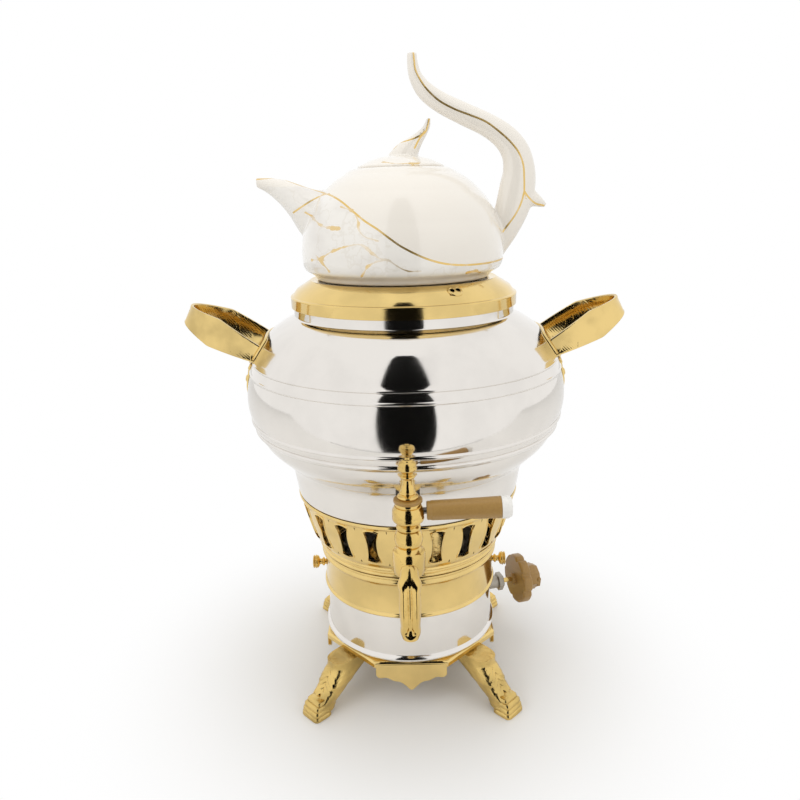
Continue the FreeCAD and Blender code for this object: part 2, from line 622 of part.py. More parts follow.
def make_shield(quarter):
    """The scalloped plate that hangs from one side of the base."""
    top = value("rim_z - 0.5*base_thick")
    half, edge, tip = S["shield_half"], S["shield_edge_z"], S["shield_tip_z"]
    front = -S["base_half"]
    spots = [Vector(-half, front, top), Vector(-half, front, edge),
             Vector(0, front, tip), Vector(half, front, edge), Vector(half, front, top)]
    first = Part.Arc(spots[1], Vector(-0.45 * half, front, 0.62 * tip + 0.38 * edge), spots[2])
    second = Part.Arc(spots[2], Vector(0.45 * half, front, 0.62 * tip + 0.38 * edge), spots[3])
    edges = [Part.LineSegment(spots[0], spots[1]), first, second,
             Part.LineSegment(spots[3], spots[4]), Part.LineSegment(spots[4], spots[0])]
    face = Part.Face(Part.Wire([e.toShape() for e in edges]))
    shield = doc.addObject("Part::Feature", "shield")
    shield.Shape = face.extrude(Vector(0, S["shield_thick"], 0))
    shield.Placement = Placement(Vector(), Rotation(UP, 90 * quarter))
    return shield


def rectangle(sketch, centre, long, wide):
    """A rectangle along the sketch's X, its centre and sides bound to the sheet."""
    corners = [
        (centre + " - 0.5*" + long, "-0.5*" + wide), (centre + " + 0.5*" + long, "-0.5*" + wide),
        (centre + " + 0.5*" + long, "0.5*" + wide), (centre + " - 0.5*" + long, "0.5*" + wide),
    ]
    draw(sketch, corners)


def make_leg(label, turn):
    """One cast leg: its hip bolts under the base, its foot stands on the floor."""
    body = doc.addObject("PartDesign::Body", label)
    plan = (("0", "foot_out", "foot_size", "foot_size"), ("3.0", "foot_out", "foot_size", "foot_size"),
            ("knee_z", "knee_out", "knee_size", "knee_size"),
            ("calf_z", "calf_out", "calf_size", "calf_size"),
            ("shin_z", "shin_out", "shin_size", "shin_size"),
            ("rim_z - base_skirt", "hip_out", "hip_long", "hip_wide"),
            ("rim_z - base_thick", "hip_out", "hip_long", "hip_wide"))
    sketches = []
    for i, (height, out, long, wide) in enumerate(plan):
        sketch = new_sketch(body, "XY_Plane", "%s_section_%d" % (label, i))
        sketch.setExpression(".AttachmentOffset.Base.z", bound(height))
        rectangle(sketch, out, long, wide)
        sketches.append(sketch)
    doc.recompute()
    loft = body.newObject("PartDesign::AdditiveLoft", label + "_loft")
    loft.Profile = sketches[0]
    loft.Sections = [(sketch, [""]) for sketch in sketches[1:]]
    loft.Ruled = True
    doc.recompute()
    hole = body.newObject("Sketcher::SketchObject", label + "_hole")
    hole.AttachmentSupport = [(plane(body, "XY_Plane"), "")]
    hole.MapMode = "FlatFace"
    hole.setExpression(".AttachmentOffset.Base.z", bound("rim_z - base_thick"))
    hole.addGeometry(Part.Circle(Vector(S["leg_screw_out"], 0, 0), UP, value("leg_screw_rad + 0.1")), False)
    doc.recompute()
    drill = body.newObject("PartDesign::Pocket", label + "_drill")
    drill.Profile = hole
    drill.Length = value("leg_screw_long - base_thick + 0.5")
    doc.recompute()
    body.Placement = Placement(Vector(), Rotation(UP, turn))
    node(body, label)


def make_legs():
    names = {"front_right_leg": -45, "back_right_leg": 45, "back_left_leg": 135, "front_left_leg": 225}
    for label, turn in names.items():
        make_leg(label, turn)
    screws = []
    for turn in names.values():
        out = Rotation(UP, turn).multVec(Vector(S["leg_screw_out"], 0, 0))
        shank = rod("leg_screw_rad", "leg_screw_long", out + UP * value("rim_z - leg_screw_long"), UP)
        head = rod("head_rad", "head_high", out + UP * S["rim_z"], UP)
        screws.append(fuse(shank, head))
    node(group(screws), "leg_screws")


def group(pieces):
    """Like pieces that share one node, kept as separate solids."""
    result = doc.addObject("Part::Compound", "group")
    result.Links = pieces
    return result


def belly_skin(inner, outer):
    """A ring that follows the belly, between two distances outside it."""
    spots = belly_outer()
    up = [(p[0] + " + " + outer,) + tuple(p[1:]) for p in spots]
    down = lining([(p[0] + " + " + inner,) + tuple(p[1:]) for p in spots], "0")
    return revolve(up + down)


def bracket_outline():
    """The bracket seen from the side: a cross-piece for the two arms over a hanging tongue."""
    low, high = S["bracket_low_z"], S["bracket_high_z"]
    half, waist = S["bracket_half"], S["bracket_waist"]
    arm = high - 18.0
    half_points = [(0, low), (waist, low + 9), (waist, arm - 9), (half - 6, arm - 3),
                   (half, arm + 6), (half - 5, high - 2), (0, high)]
    points = half_points + [(-y, z) for y, z in half_points[-2:0:-1]]
    return [Vector(0, y, z) for y, z in points]


def make_handle(side, label):
    sign = -1 if side == "left" else 1
    wire = Part.makePolygon(bracket_outline() + bracket_outline()[:1])
    prism = Part.Face(wire).extrude(Vector(sign * 1.5 * S["belly_rad"], 0, 0))
    skin = belly_skin("fit_gap", "fit_gap + bracket_thick")
    bracket = prism.common(skin)
    holes = [Part.makeCylinder(S["rivet_rad"], 30.0, spot - out * 10.0, out)
             for spot, out in rivet_places(sign)]
    bracket = bracket.cut(holes)
    free_form(side + "_handle_bracket", bracket.Solids[0])
    grip = make_grip(sign)
    keep_out = belly_skin("-30.0", "fit_gap + bracket_thick")
    grip = grip.cut(keep_out)
    free_form(label, max(grip.Solids, key=lambda s: s.Volume))


def make_grip(sign):
    """A loop of strip that rises outwards, tall in the middle and low at its ends."""
    reach, half, wall = S["grip_reach"], S["grip_half"], S["grip_wall"]
    top = 0.5 * S["grip_mid_high"] + 2
    rings = []
    for shrink in (0.0, wall):
        wide, deep = reach - shrink, half - shrink
        ellipse = Part.Ellipse(Vector(0, 0, -top), max(wide, deep), min(wide, deep))
        rings.append(Part.Face(Part.Wire(ellipse.toShape())).extrude(Vector(0, 0, 2 * top)))
    loop = rings[0].cut(rings[1])
    start = -14.0
    spots = [(start, 0.5 * S["grip_root_high"]), (0.55 * reach, 0.5 * S["grip_mid_high"]),
             (reach + 1, 0.5 * S["grip_tip_high"])]
    outline = [Vector(x, -half - 1, z) for x, z in spots]
    outline += [Vector(x, -half - 1, -z) for x, z in reversed(spots)]
    lens = Part.Face(Part.makePolygon(outline + outline[:1])).extrude(Vector(0, 2 * half + 2, 0))
    grip = loop.common(lens)
    grip.rotate(Vector(), Vector(0, 1, 0), -S["grip_rise"])
    grip.translate(Vector(S["grip_root"], 0, S["grip_root_z"]))
    if sign < 0:
        grip = grip.mirror(Vector(), Vector(1, 0, 0))
    return grip


def rivet_places(sign):
    """Where each rivet leaves the belly, and the way it points, square to the wall."""
    places = []
    for height in (S["rivet_one_z"], S["rivet_two_z"]):
        slope = 0.5 * (wall_radius(height + 1.0) - wall_radius(height - 1.0))
        places.append((Vector(sign * wall_radius(height), 0, height), Vector(sign, 0, -slope).normalize()))
    return places


def make_rivets():
    """Studs welded on the belly, with their heads on the brackets' outer faces."""
    tank = revolve(tank_outer() + [("0", "collar_top_z"), ("0", "tank_foot_z")])
    under_head = belly_skin("-6.0", "fit_gap + bracket_thick")
    studs = []
    for sign in (-1, 1):
        for spot, out in rivet_places(sign):
            stem = Part.makeCylinder(S["rivet_rad"] - 0.05, 8.0, spot - out * 4.0, out).cut(tank)
            head = Part.makeCylinder(S["rivet_head_rad"], S["rivet_head_high"] + 4.0, spot + out * 0.5, out)
            studs.append(stem.fuse(head.cut(under_head)).removeSplitter())
    free_form("handle_rivets", Part.makeCompound(studs))


def make_handles():
    make_handle("left", "left_handle_grip")
    make_handle("right", "right_handle_grip")
    make_rivets()


def wall_radius(height):
    """The tank's outer radius at a height, on straight lines between the outline's points."""
    spots = [(value(p[1]), value(p[0])) for p in tank_outer()]
    for (low, first), (high, second) in zip(spots, spots[1:]):
        if low <= height <= high:
            return first + (second - first) * (height - low) / (high - low)
    return spots[-1][1]


def make_tap():
    out = S["tap_out"]
    centre = Vector(0, 0, S["tap_z"])
    make_tap_body()
    face = wall_radius(S["tap_z"] + S["flange_rad"]) + 0.5 * S["gasket_thick"]
    corner = S["nut_flat"] / math.cos(math.radians(30))
    low_wall = wall_radius(S["tap_z"] - corner) - S["wall"]
    seat = math.sqrt(low_wall ** 2 - corner ** 2) - 0.1
    inside_end = seat - S["nut_thick"] - S["shank_inside"]
    start = centre + FRONT * inside_end
    reach = out - 0.5 * S["barrel_neck_rad"] - inside_end
    shank = rod("shank_rad", str(reach), start, FRONT)
    flange = rod("flange_rad", "flange_thick", centre + FRONT * face, FRONT)
    bore = rod("shank_bore", str(reach + 2), start - FRONT, FRONT)
    barrel_room = doc.addObject("Part::Feature", "barrel_room")
    barrel_room.Shape = revolve_barrel().translated(Vector(0, -out, 0))
    node(cut(cut(fuse(shank, flange), barrel_room), bore), "tap_shank")
    saddle = rod("flange_rad - 1.0", "gasket_thick + 8.0",
                 centre + FRONT * (face - S["gasket_thick"] - 8.0), FRONT, bore="shank_rad + 0.1")
    tank = doc.addObject("Part::Feature", "tank_room")
    tank.Shape = revolve(tank_outer() + [("0", "collar_top_z"), ("0", "tank_foot_z")])
    node(cut(saddle, tank), "tap_gasket")
    node(hexagon("nut_flat", "nut_thick", centre + FRONT * (seat - S["nut_thick"]), FRONT,
                 "shank_rad + 0.05"), "tap_lock_nut")
    make_plug()
    make_key()
    make_lever()


def revolve_barrel():
    """The tap's barrel before it is bored, about its own axis."""
    low, high = "barrel_low_z", "barrel_top_z"
    outline = [
        ("0", low), ("barrel_rad - 2.0", low, "0.6"), ("barrel_rad", low + " + 2.0"),
        ("barrel_rad", "barrel_high_z - 1.0"), ("barrel_rad - 1.6", "barrel_high_z"),
        ("barrel_neck_rad - 1.4", "barrel_high_z + 2.5"),
        ("barrel_neck_rad - 0.6", "barrel_high_z + 4.0", "1.4"),
        ("barrel_neck_rad - 1.2", high + " - 1.0"), ("barrel_neck_rad - 1.8", high), ("0", high),
    ]
    return revolve(outline)


def make_tap_body():
    """The turned barrel with its pouring spout, bored for the plug."""
    barrel = revolve_barrel()
    out, bend, end = S["spout_out"], S["spout_bend_z"], S["spout_low_z"]
    top = S["barrel_low_z"] + 7.0
    wide, deep = S["spout_wide"], S["spout_deep"]
    plan = (
        (2.0, top, 0.76 * wide, 0.95 * deep), (0.55 * out, top - 1.5, 0.84 * wide, 0.97 * deep),
        (0.86 * out, top - 7.5, 0.92 * wide, deep), (out, bend + 2.0, wide, deep),
        (1.02 * out, bend - 8.0, wide, deep), (out, end + 7.0, 0.9 * wide, 0.94 * deep),
        (out, end, 0.8 * wide, 0.88 * deep),
    )

    def tube(thinner):
        spots = [Vector(0, -ahead, height) for ahead, height, side, depth in plan]
        rings = []
        for i, (ahead, height, side, depth) in enumerate(plan):
            normal = (spots[min(i + 1, len(spots) - 1)] - spots[max(i - 1, 0)]).normalize()
            rings.append(oval(spots[i], normal, Vector(1, 0, 0), side - thinner, depth - thinner))
        return Part.makeLoft(rings, True, False)

    lobes = []
    for side in (-1, 1):
        place = Vector(side * 0.62 * S["lobe_rad"], -out, end - 2.6)
        lobes.append(Part.makeCylinder(S["lobe_rad"] - 0.8, 5.2, place))
        lobes.append(Part.makeCone(S["lobe_rad"] - 2.0, S["lobe_rad"] - 0.8, 1.2, place - UP * 1.2))
    groove = Part.makeCylinder(3.4, 24.0, Vector(0, -out - deep - 1.6, end + 6.0))
    body = barrel.fuse([tube(0.0)] + lobes).cut(groove)
    gap = S["plug_gap"]
    plug_room = Part.makeCone(S["plug_low_rad"] + gap, S["plug_high_rad"] + gap,
                              value("barrel_top_z - barrel_low_z"), Vector(0, 0, S["barrel_low_z"]))
    outlet = tube(S["spout_wall"])
    mouth = Part.makeCylinder(0.88 * deep - S["spout_wall"], 20, Vector(0, -out, end - 15.0))
    inlet = Part.makeCylinder(S["port_rad"], 20, Vector(0, 0, S["tap_z"]), Vector(0, 1, 0))
    body = body.cut([plug_room, outlet, mouth, inlet])
    body.translate(Vector(0, -S["tap_out"], 0))
    free_form("tap_body", max(body.Solids, key=lambda s: s.Volume))


def make_plug():
    """The tapered plug: its port leads from the shank down to the spout when the lever points ahead."""
    low, high = S["barrel_low_z"], S["barrel_top_z"]
    cone = Part.makeCone(S["plug_low_rad"], S["plug_high_rad"], high - low, Vector(0, 0, low))
    key = Part.makeCylinder(S["key_neck_rad"], value("key_gap + 4.0"), Vector(0, 0, high))
    stud = Part.makeCylinder(S["stud_rad"], S["stud_long"], Vector(0, 0, low - S["stud_long"]))
    plug = cone.fuse([key, stud])
    side = Part.makeCylinder(S["port_rad"], 12, Vector(0, 0, S["tap_z"]), Vector(-1, 0, 0))
    down = Part.makeCylinder(S["port_rad"] - 0.6, S["tap_z"] - low - 7.0, Vector(0, 0, low + 7.0))
    outlet = Part.makeCylinder(S["port_rad"], 12, Vector(0, 0, low + 7.0), Vector(1, 0, 0))
    plug = plug.cut([side, down, outlet]).removeSplitter()
    plug.translate(Vector(0, -S["tap_out"], 0))
    free_form("tap_plug", plug.Solids[0])
    base = Vector(0, -S["tap_out"], low - S["cap_nut_high"] - S["key_gap"])
    node(hexagon("cap_nut_rad", "cap_nut_high", base, UP, "stud_rad + 0.05"), "tap_plug_nut")


def at_tap(z):
    return Placement(Vector(0, -S["tap_out"], z), Rotation())


def make_key():
    """The turned key above the barrel, its disc and its finial, all on the plug."""
    base = value("barrel_top_z + key_gap")
    inner = "key_neck_rad + 0.05"
    socket = "4.2"
    swell = turned("key_blank", [
        ("0", socket), (inner, socket), (inner, "0"), ("0.62*key_rad", "0"),
        ("0.62*key_rad", "1.5", "0.9"), ("0.7*key_rad", "5.0"), ("key_rad", "0.46*key_high", "1.2"),
        ("key_rad", "0.68*key_high", "1.0"), ("0.66*key_rad", "0.9*key_high"),
        ("0.66*key_rad", "key_high"), ("0", "key_high"),
    ], place=at_tap(base))
    NODES.pop("key_blank")
    arm_z = base + 0.58 * S["key_high"]
    arm = rod("lever_rod_rad + 0.05", "30.0", Vector(3.0, -S["tap_out"], arm_z), lever_direction())
    node(cut(swell, arm), "tap_key")
    top = base + S["key_high"]
    turned("key_disc", [("0", "0"), ("disc_rad", "0"), ("disc_rad", "disc_thick"), ("0", "disc_thick")],
           place=at_tap(top))
    turned("tap_finial", [
        ("0", "0"), ("finial_foot_rad", "0", "0.5"), ("finial_foot_rad - 0.6", "2.2"),
        ("finial_waist_rad", "finial_skirt_high", "-0.3"),
        ("finial_knob_rad", "finial_skirt_high + 1.2", "0.5"),
        ("finial_knob_rad - 1.0", "finial_skirt_high + 4.0"),
        ("0.75*finial_knob_rad", "finial_high - 7.0", "1.6"), ("1.6", "finial_high"),
        ("0", "finial_high"),
    ], place=at_tap(top + S["disc_thick"]))


def lever_direction():
    tilt = math.radians(S["lever_tilt"])
    return Vector(math.cos(tilt), 0, math.sin(tilt))


def make_lever():
    base = Vector(3.2, -S["tap_out"], value("barrel_top_z + key_gap") + 0.58 * S["key_high"])
    out = lever_direction()
    start = base + out * (S["lever_start"] - 3.2)
    node(rod("lever_rod_rad", "lever_start - 3.2 + lever_long + 0.6*lever_cap_long", base, out), "lever_rod")
    place = Placement(start, Rotation(UP, out))
    bore = "lever_rod_rad + 0.05"
    turned("lever_grip", [
        (bore, "0"), ("lever_low_rad - 0.6", "0", "0.2"), ("lever_low_rad", "1.0"),
        ("lever_high_rad", "lever_long"), (bore, "lever_long"),
    ], place=place)
    cap = "lever_cap_long"
    turned("lever_cap", [
        (bore, "0"), ("lever_high_rad + 0.2", "0", "0.3"),
        ("lever_high_rad + 0.2", cap + " - 2.0", "0.6"), ("lever_high_rad - 2.0", cap), ("0", cap),
        ("0", "0.6*lever_cap_long + 0.1"), (bore, "0.6*lever_cap_long + 0.1"),
    ], place=Placement(start + out * S["lever_long"], Rotation(UP, out)))
    node(rod("lever_screw_rad", "lever_screw_high",
             start + out * (S["lever_long"] + S["lever_cap_long"]), out), "lever_screw")


def make_thumbscrews():
    nuts = []
    for side, sign in (("left", -1), ("right", 1)):
        out = Vector(sign, 0, 0)
        inner = S["drum_top_rad"] - S["wall"] - S["thumb_nut_thick"]
        base = out * (inner - 1.0) + UP * S["thumb_z"]
        long = value("band_rad + thumb_reach") - inner + 1.0
        shank = rod("thumb_rad", str(long), base, out)
        head = rod("thumb_head_rad", "thumb_head_thick", base + out * long, out)
        wings = rod("thumb_head_rad + 0.8", "0.45*thumb_head_thick",
                    base + out * (long + 0.28 * S["thumb_head_thick"]), out)
        node(fuse(shank, head, wings), side + "_thumbscrew")
        nuts.append(hexagon("thumb_nut_rad", "thumb_nut_thick", out * (inner - 1.2) + UP * S["thumb_z"],
                            out, "thumb_rad + 0.05"))
    node(group(nuts), "thumbscrew_nuts")


def drum_radius(height):
    low, high = value("rim_z + rim_high + 1.0"), S["drum_top_z"]
    share = (height - low) / (high - low)
    return S["drum_foot_rad"] + share * (S["drum_top_rad"] - S["drum_foot_rad"])


def valve_axis():
    turn = math.radians(S["valve_turn"])
    return Vector(math.cos(turn), math.sin(turn), 0)


def make_valve():
    out = valve_axis()
    level = UP * S["valve_z"]
    wall = drum_radius(S["valve_z"])
    inner = wall - S["valve_inside"]
    long = S["valve_inside"] + S["valve_neck"]
    node(rod("valve_rad", str(long), out * inner + level, out, bore="stem_rad + 0.05"), "valve_body")
    face = wall + S["valve_neck"] - S["valve_nut_thick"] + 1.0
    node(hexagon("valve_nut_flat", "valve_nut_thick", out * face + level, out, "valve_rad + 0.05"),
         "valve_nut")
    knob_at = wall + S["valve_neck"] + S["knob_gap"]
    node(rod("stem_rad", str(knob_at - inner - 2.0 + 6.0), out * (inner + 2.0) + level, out), "valve_stem")
    disc = rod("knob_rad", "knob_thick", out * knob_at + level, out)
    notches = []
    for i in range(int(S["knob_lobes"])):
        turn = Rotation(out, 360.0 * i / S["knob_lobes"])
        spot = turn.multVec(UP) * (S["knob_rad"] + 0.62 * S["knob_lobe_rad"])
        notches.append(rod("knob_lobe_rad", "knob_thick + 2.0", spot + out * (knob_at - 1) + level, out))
    boss = rod("boss_rad", "boss_long", out * (knob_at + S["knob_thick"] - 0.5) + level, out)
    hub = rod("stem_rad + 3.0", "3.0", out * (knob_at - 3.0) + level, out)
    stem_room = rod("stem_rad + 0.02", "3.0 + 6.1", out * (knob_at - 3.0) + level, out)
    node(cut(cut(fuse(disc, boss, hub), fuse(*notches)), stem_room), "gas_knob")


def make_burner():
    """The burner in the drum: tray, posts, mixing tube, ported bowl, cap and its gas pipes."""
    edge = "drum_foot_rad - wall - fit_gap"
    level = "rim_z + head_high + fit_gap"
    turned("burner_tray", [
        ("mixer_rad + fit_gap", level), (edge, level), (edge, level + " + 4.0"),
        (edge + " - tray_thick", level + " + 4.0"), (edge + " - tray_thick", level + " + tray_thick"),
        ("mixer_rad + fit_gap", level + " + tray_thick"),
    ])
    posts = []
    floor = "rim_z + head_high + fit_gap + tray_thick"
    long = "burner_z - rim_z - head_high - fit_gap - tray_thick"
    for i in range(3):
        spot = Rotation(UP, 60 + 120 * i).multVec(Vector(S["post_out"], 0, 0))
        posts.append(rod("post_rad", long, spot + UP * value(floor), UP))
    node(group(posts), "burner_posts")
    low, wall = "burner_z", "burner_wall"
    cap = low + " + burner_high"
    turned("burner_bowl", [
        ("mixer_rad", low), ("burner_rad", low), ("burner_rad", cap),
        ("burner_rad - burner_wall", cap), ("burner_rad - burner_wall", low + " + " + wall),
        ("mixer_rad", low + " + " + wall),
    ], slot=flame_ports)
    turned("burner_cap", [
        ("0", cap), ("burner_rad", cap), ("burner_rad - 3.0", cap + " + burner_cap_thick"),
        ("0", cap + " + burner_cap_thick"),
    ])
    tube = "burner_z - mixer_low_z + burner_wall"
    node(rod("mixer_rad", tube, UP * S["mixer_low_z"], UP, bore="mixer_rad - mixer_wall"), "mixing_tube")
    make_gas_line()


def flame_ports(body):
    sketch = new_sketch(body, "XZ_Plane", "port_outline")
    level = value("burner_z + 0.55*burner_high")
    sketch.addGeometry(Part.Circle(Vector(0, level, 0), UP, S["flame_port_rad"]), False)
    doc.recompute()
    pocket = body.newObject("PartDesign::Pocket", "port_cut")
    pocket.Profile = sketch
    pocket.Type = 1
    pocket.Midplane = True
    doc.recompute()
    pattern = body.newObject("PartDesign::PolarPattern", "port_pattern")
    pattern.Originals = [pocket]
    pattern.Axis = (plane(body, "Z_Axis"), [""])
    half = int(S["port_count"] / 2)
    pattern.Angle = 180.0 - 180.0 / half
    pattern.Occurrences = half
    body.Tip = pattern
    doc.recompute()


def make_gas_line():
    """The hose nipple at the back, the pipe to the valve, and the jet under the mixing tube."""
    wall = drum_radius(S["inlet_z"])
    back = Vector(0, 1, 0)
    level = UP * S["inlet_z"]
    inner = wall - 10.0
    stem = rod("inlet_rad", str(10.0 + S["inlet_long"]), back * inner + level, back)
    collar = rod("inlet_collar_rad", "inlet_collar_thick", back * (wall + 0.4) + level, back)
    bore = rod("inlet_bore", str(12.0 + S["inlet_long"]), back * (inner - 1.0) + level, back)
    node(cut(fuse(stem, collar), bore), "gas_inlet")
    out = valve_axis()
    side = Vector(-out.y, out.x, 0)
    valve_end = drum_radius(S["valve_z"]) - S["valve_inside"]
    low = UP * S["valve_z"]
    joint = out * (valve_end + 5.0) + low
    node(pipe([back * inner + level, back * (inner - 16.0) + level,
               joint + side * (S["valve_rad"] + 18.0), joint + side * S["valve_rad"]]), "gas_pipe")
    jet = rod("0.6*mixer_rad", "8.0", UP * (S["mixer_low_z"] - 11.0), UP, bore="1.0")
    node(jet, "gas_jet")
    tube = rod("pipe_rad", str(valve_end - 0.5), out * 0.5 + low, out, bore="pipe_bore")
    room = rod("0.6*mixer_rad", "8.0", UP * (S["mixer_low_z"] - 11.0), UP)
    node(cut(tube, room), "jet_tube")


def pipe(points):
    """A bent tube on straight runs joined by round bends."""
    edges = []
    last = points[0]
    radius = 8.0
    for before, corner, after in zip(points, points[1:], points[2:]):
        first = (before - corner).normalize()
        second = (after - corner).normalize()
        half = 0.5 * first.getAngle(second)
        back = min(radius / math.tan(half), 6.0)
        enter = corner + first * back
        leave = corner + second * back
        bisector = (first + second).normalize()
        bend = back * math.tan(half)
        middle = corner + bisector * (math.hypot(back, bend) - bend)
        edges.append(Part.LineSegment(last, enter).toShape())
        edges.append(Part.Arc(enter, middle, leave).toShape())
        last = leave
    edges.append(Part.LineSegment(last, points[-1]).toShape())
    spine = Part.Wire(edges)
    shapes = []
    for size in ("pipe_rad", "pipe_bore"):
        ring = Part.Wire(Part.Circle(points[0], points[1] - points[0], S[size]).toShape())
        shapes.append(spine.makePipeShell([ring], True, True))
    made = doc.addObject("Part::Feature", "pipe")
    made.Shape = shapes[0].cut(shapes[1])
    return made


make_tank()
make_cover()
make_ring_and_drum()
make_base()
make_legs()
make_handles()
make_tap()
make_thumbscrews()
make_valve()
make_burner()
make_teapot()
doc.recompute()

for item in doc.Objects:
    if "Invalid" in item.State or "Error" in item.State:
        raise RuntimeError("%s did not build: %s" % (item.Label, item.State))
os.makedirs("parts", exist_ok=True)
for label, piece in NODES.items():
    shape = piece.Shape
    if shape.isNull() or not shape.isValid() or not shape.Solids:
        raise RuntimeError("%s has no valid solid" % label)
    shape.exportStep(os.path.join("parts", label + ".step"))
    print("%-24s solids %d volume %.0f" % (label, len(shape.Solids), shape.Volume))
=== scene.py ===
import math

import bpy
import numpy as np
from mathutils import Matrix, Vector
from mathutils.bvhtree import BVHTree
from mathutils.kdtree import KDTree


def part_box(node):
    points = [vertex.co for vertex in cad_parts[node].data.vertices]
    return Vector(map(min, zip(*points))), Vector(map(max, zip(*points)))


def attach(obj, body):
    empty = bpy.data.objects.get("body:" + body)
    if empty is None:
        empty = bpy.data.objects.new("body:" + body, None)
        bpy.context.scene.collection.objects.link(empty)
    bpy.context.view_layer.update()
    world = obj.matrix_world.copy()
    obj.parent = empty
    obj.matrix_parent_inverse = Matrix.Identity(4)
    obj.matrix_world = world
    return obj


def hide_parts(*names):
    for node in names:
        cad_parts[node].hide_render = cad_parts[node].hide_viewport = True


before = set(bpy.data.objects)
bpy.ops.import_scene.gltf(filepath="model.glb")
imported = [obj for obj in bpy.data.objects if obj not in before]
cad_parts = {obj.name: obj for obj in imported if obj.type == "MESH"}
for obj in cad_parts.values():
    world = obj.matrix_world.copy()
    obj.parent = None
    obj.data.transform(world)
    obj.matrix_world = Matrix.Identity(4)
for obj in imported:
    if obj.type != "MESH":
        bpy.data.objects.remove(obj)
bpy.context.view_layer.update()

# Base frame: sheet brass, gold plated and polished. A square top with cut corners takes the drum,
# and a scalloped plate hangs from each side.
MM = 0.001


class Sock:
    """A shader socket on which sums can be written."""

    def __init__(self, owner, socket):
        self.owner = owner
        self.socket = socket

    def maths(self, operation, *terms):
        return self.owner.node("ShaderNodeMath", {"operation": operation}, terms)

    def __add__(self, other):
        return self.maths("ADD", self, other)

    __radd__ = __add__

    def __sub__(self, other):
        return self.maths("SUBTRACT", self, other)

    def __rsub__(self, other):
        return self.maths("SUBTRACT", other, self)

    def __mul__(self, other):
        return self.maths("MULTIPLY", self, other)

    __rmul__ = __mul__

    def size(self):
        return self.maths("ABSOLUTE", self)

    def larger(self, other):
        return self.maths("MAXIMUM", self, other)

    def step(self, low, high):
        """0 below one value and 1 above another, with a soft rise between them."""
        values = {0: self, 1: low, 2: high, 3: 0.0, 4: 1.0}
        return self.owner.node("ShaderNodeMapRange", {"interpolation_type": "SMOOTHSTEP"}, values)


class Nodes:
    """A shader tree, to which one method adds every node."""

    def __init__(self, tree):
        self.tree = tree

    def node(self, kind, settings=None, values=(), out=0):
        made = self.tree.nodes.new(kind)
        for name, setting in (settings or {}).items():
            setattr(made, name, setting)
        pairs = values.items() if isinstance(values, dict) else enumerate(values)
        for key, given in pairs:
            if isinstance(given, Sock):
                self.tree.links.new(given.socket, made.inputs[key])
            else:
                made.inputs[key].default_value = given
        return Sock(self, made.outputs[out])


class Finish(Nodes):
    """One material and the slot it belongs to, with its fixed numbers on the shader's own sockets."""

    def __init__(self, name, slot=None, **fixed):
        self.material = bpy.data.materials.new(name)
        self.material.use_nodes = True
        super().__init__(self.material.node_tree)
        self.slot = slot
        self.shader = self.tree.nodes["Principled BSDF"]
        for socket, number in fixed.items():
            self.shader.inputs[socket.replace("_", " ")].default_value = number

    def at(self):
        return self.node("ShaderNodeTexCoord", out="Object")

    def stretched(self, across, deep, high):
        values = {"Vector": self.at(), "Scale": (across, deep, high)}
        return self.node("ShaderNodeMapping", {"vector_type": "POINT"}, values)

    def noise(self, scale, detail=2.0, at=None, roughness=0.5):
        values = {"Vector": at or self.at(), "Scale": scale, "Detail": detail, "Roughness": roughness}
        return self.node("ShaderNodeTexNoise", {}, values)

    def read(self, name):
        return self.node("ShaderNodeAttribute", {"attribute_name": name}, out="Fac")

    def mix(self, share, first, second):
        first, second = [c if isinstance(c, Sock) else (*c, 1.0) for c in (first, second)]
        return self.node("ShaderNodeMix", {"data_type": "RGBA"}, {0: share, 6: first, 7: second}, out=2)

    def drive(self, **given):
        for socket, source in given.items():
            self.tree.links.new(source.socket, self.shader.inputs[socket.replace("_", " ")])

    def bump(self, height, distance, strength=1.0):
        values = {"Height": height, "Distance": distance, "Strength": strength}
        self.drive(Normal=self.node("ShaderNodeBump", {}, values))


def plated(name, slot, colour, roughness, grain=0.0, scale=240.0, dull=0.86):
    """Polished metal with faint stains, wiping marks and, where it is cast, a soft grain."""
    finish = Finish(name, slot, Metallic=1.0)
    stain = finish.noise(34.0, 4.0).step(0.35, 0.72)
    wiped = finish.noise(7.0, 3.0, at=finish.stretched(60.0, 60.0, 8.0))
    finish.drive(Base_Color=finish.mix(stain, colour, tuple(dull * c for c in colour)),
                 Roughness=roughness + 0.05 * stain + 0.05 * wiped)
    if grain:
        finish.bump(finish.noise(scale, 4.0) + 0.4 * finish.noise(3.5 * scale, 2.0), grain)
    return finish


def quads(rows, count, closed=False):
    """The faces between rings of points that are numbered ring by ring."""
    faces = []
    for i in range(rows if closed else rows - 1):
        a, b = i * count, (i + 1) % rows * count
        faces += [(a + k, a + (k + 1) % count, b + (k + 1) % count, b + k) for k in range(count)]
    return faces


def outward(verts, faces):
    """The same closed shape, its faces turned to point outwards."""
    total = 0.0
    for face in faces:
        for b, c in zip(face[1:], face[2:]):
            total += np.dot(verts[face[0]], np.cross(verts[b], verts[c]))
    return (verts, faces) if total > 0 else (verts, [f[::-1] for f in faces])


def loft(rings, closed=False, capped=True):
    """A skin over rings of points, its ends capped unless it closes on itself."""
    rings = np.array(rings, float)
    rows, count = rings.shape[:2]
    faces = quads(rows, count, closed)
    if capped and not closed:
        faces += [tuple(range(count))[::-1], tuple(range((rows - 1) * count, rows * count))]
    return outward(rings.reshape(-1, 3), faces)


def plate(outline, thick, place):
    """A flat plate: an outline in its own plane, given a thickness and set in place."""
    return loft([[place @ Vector((x, y, z)) for x, y in outline] for z in (0.0, thick)])


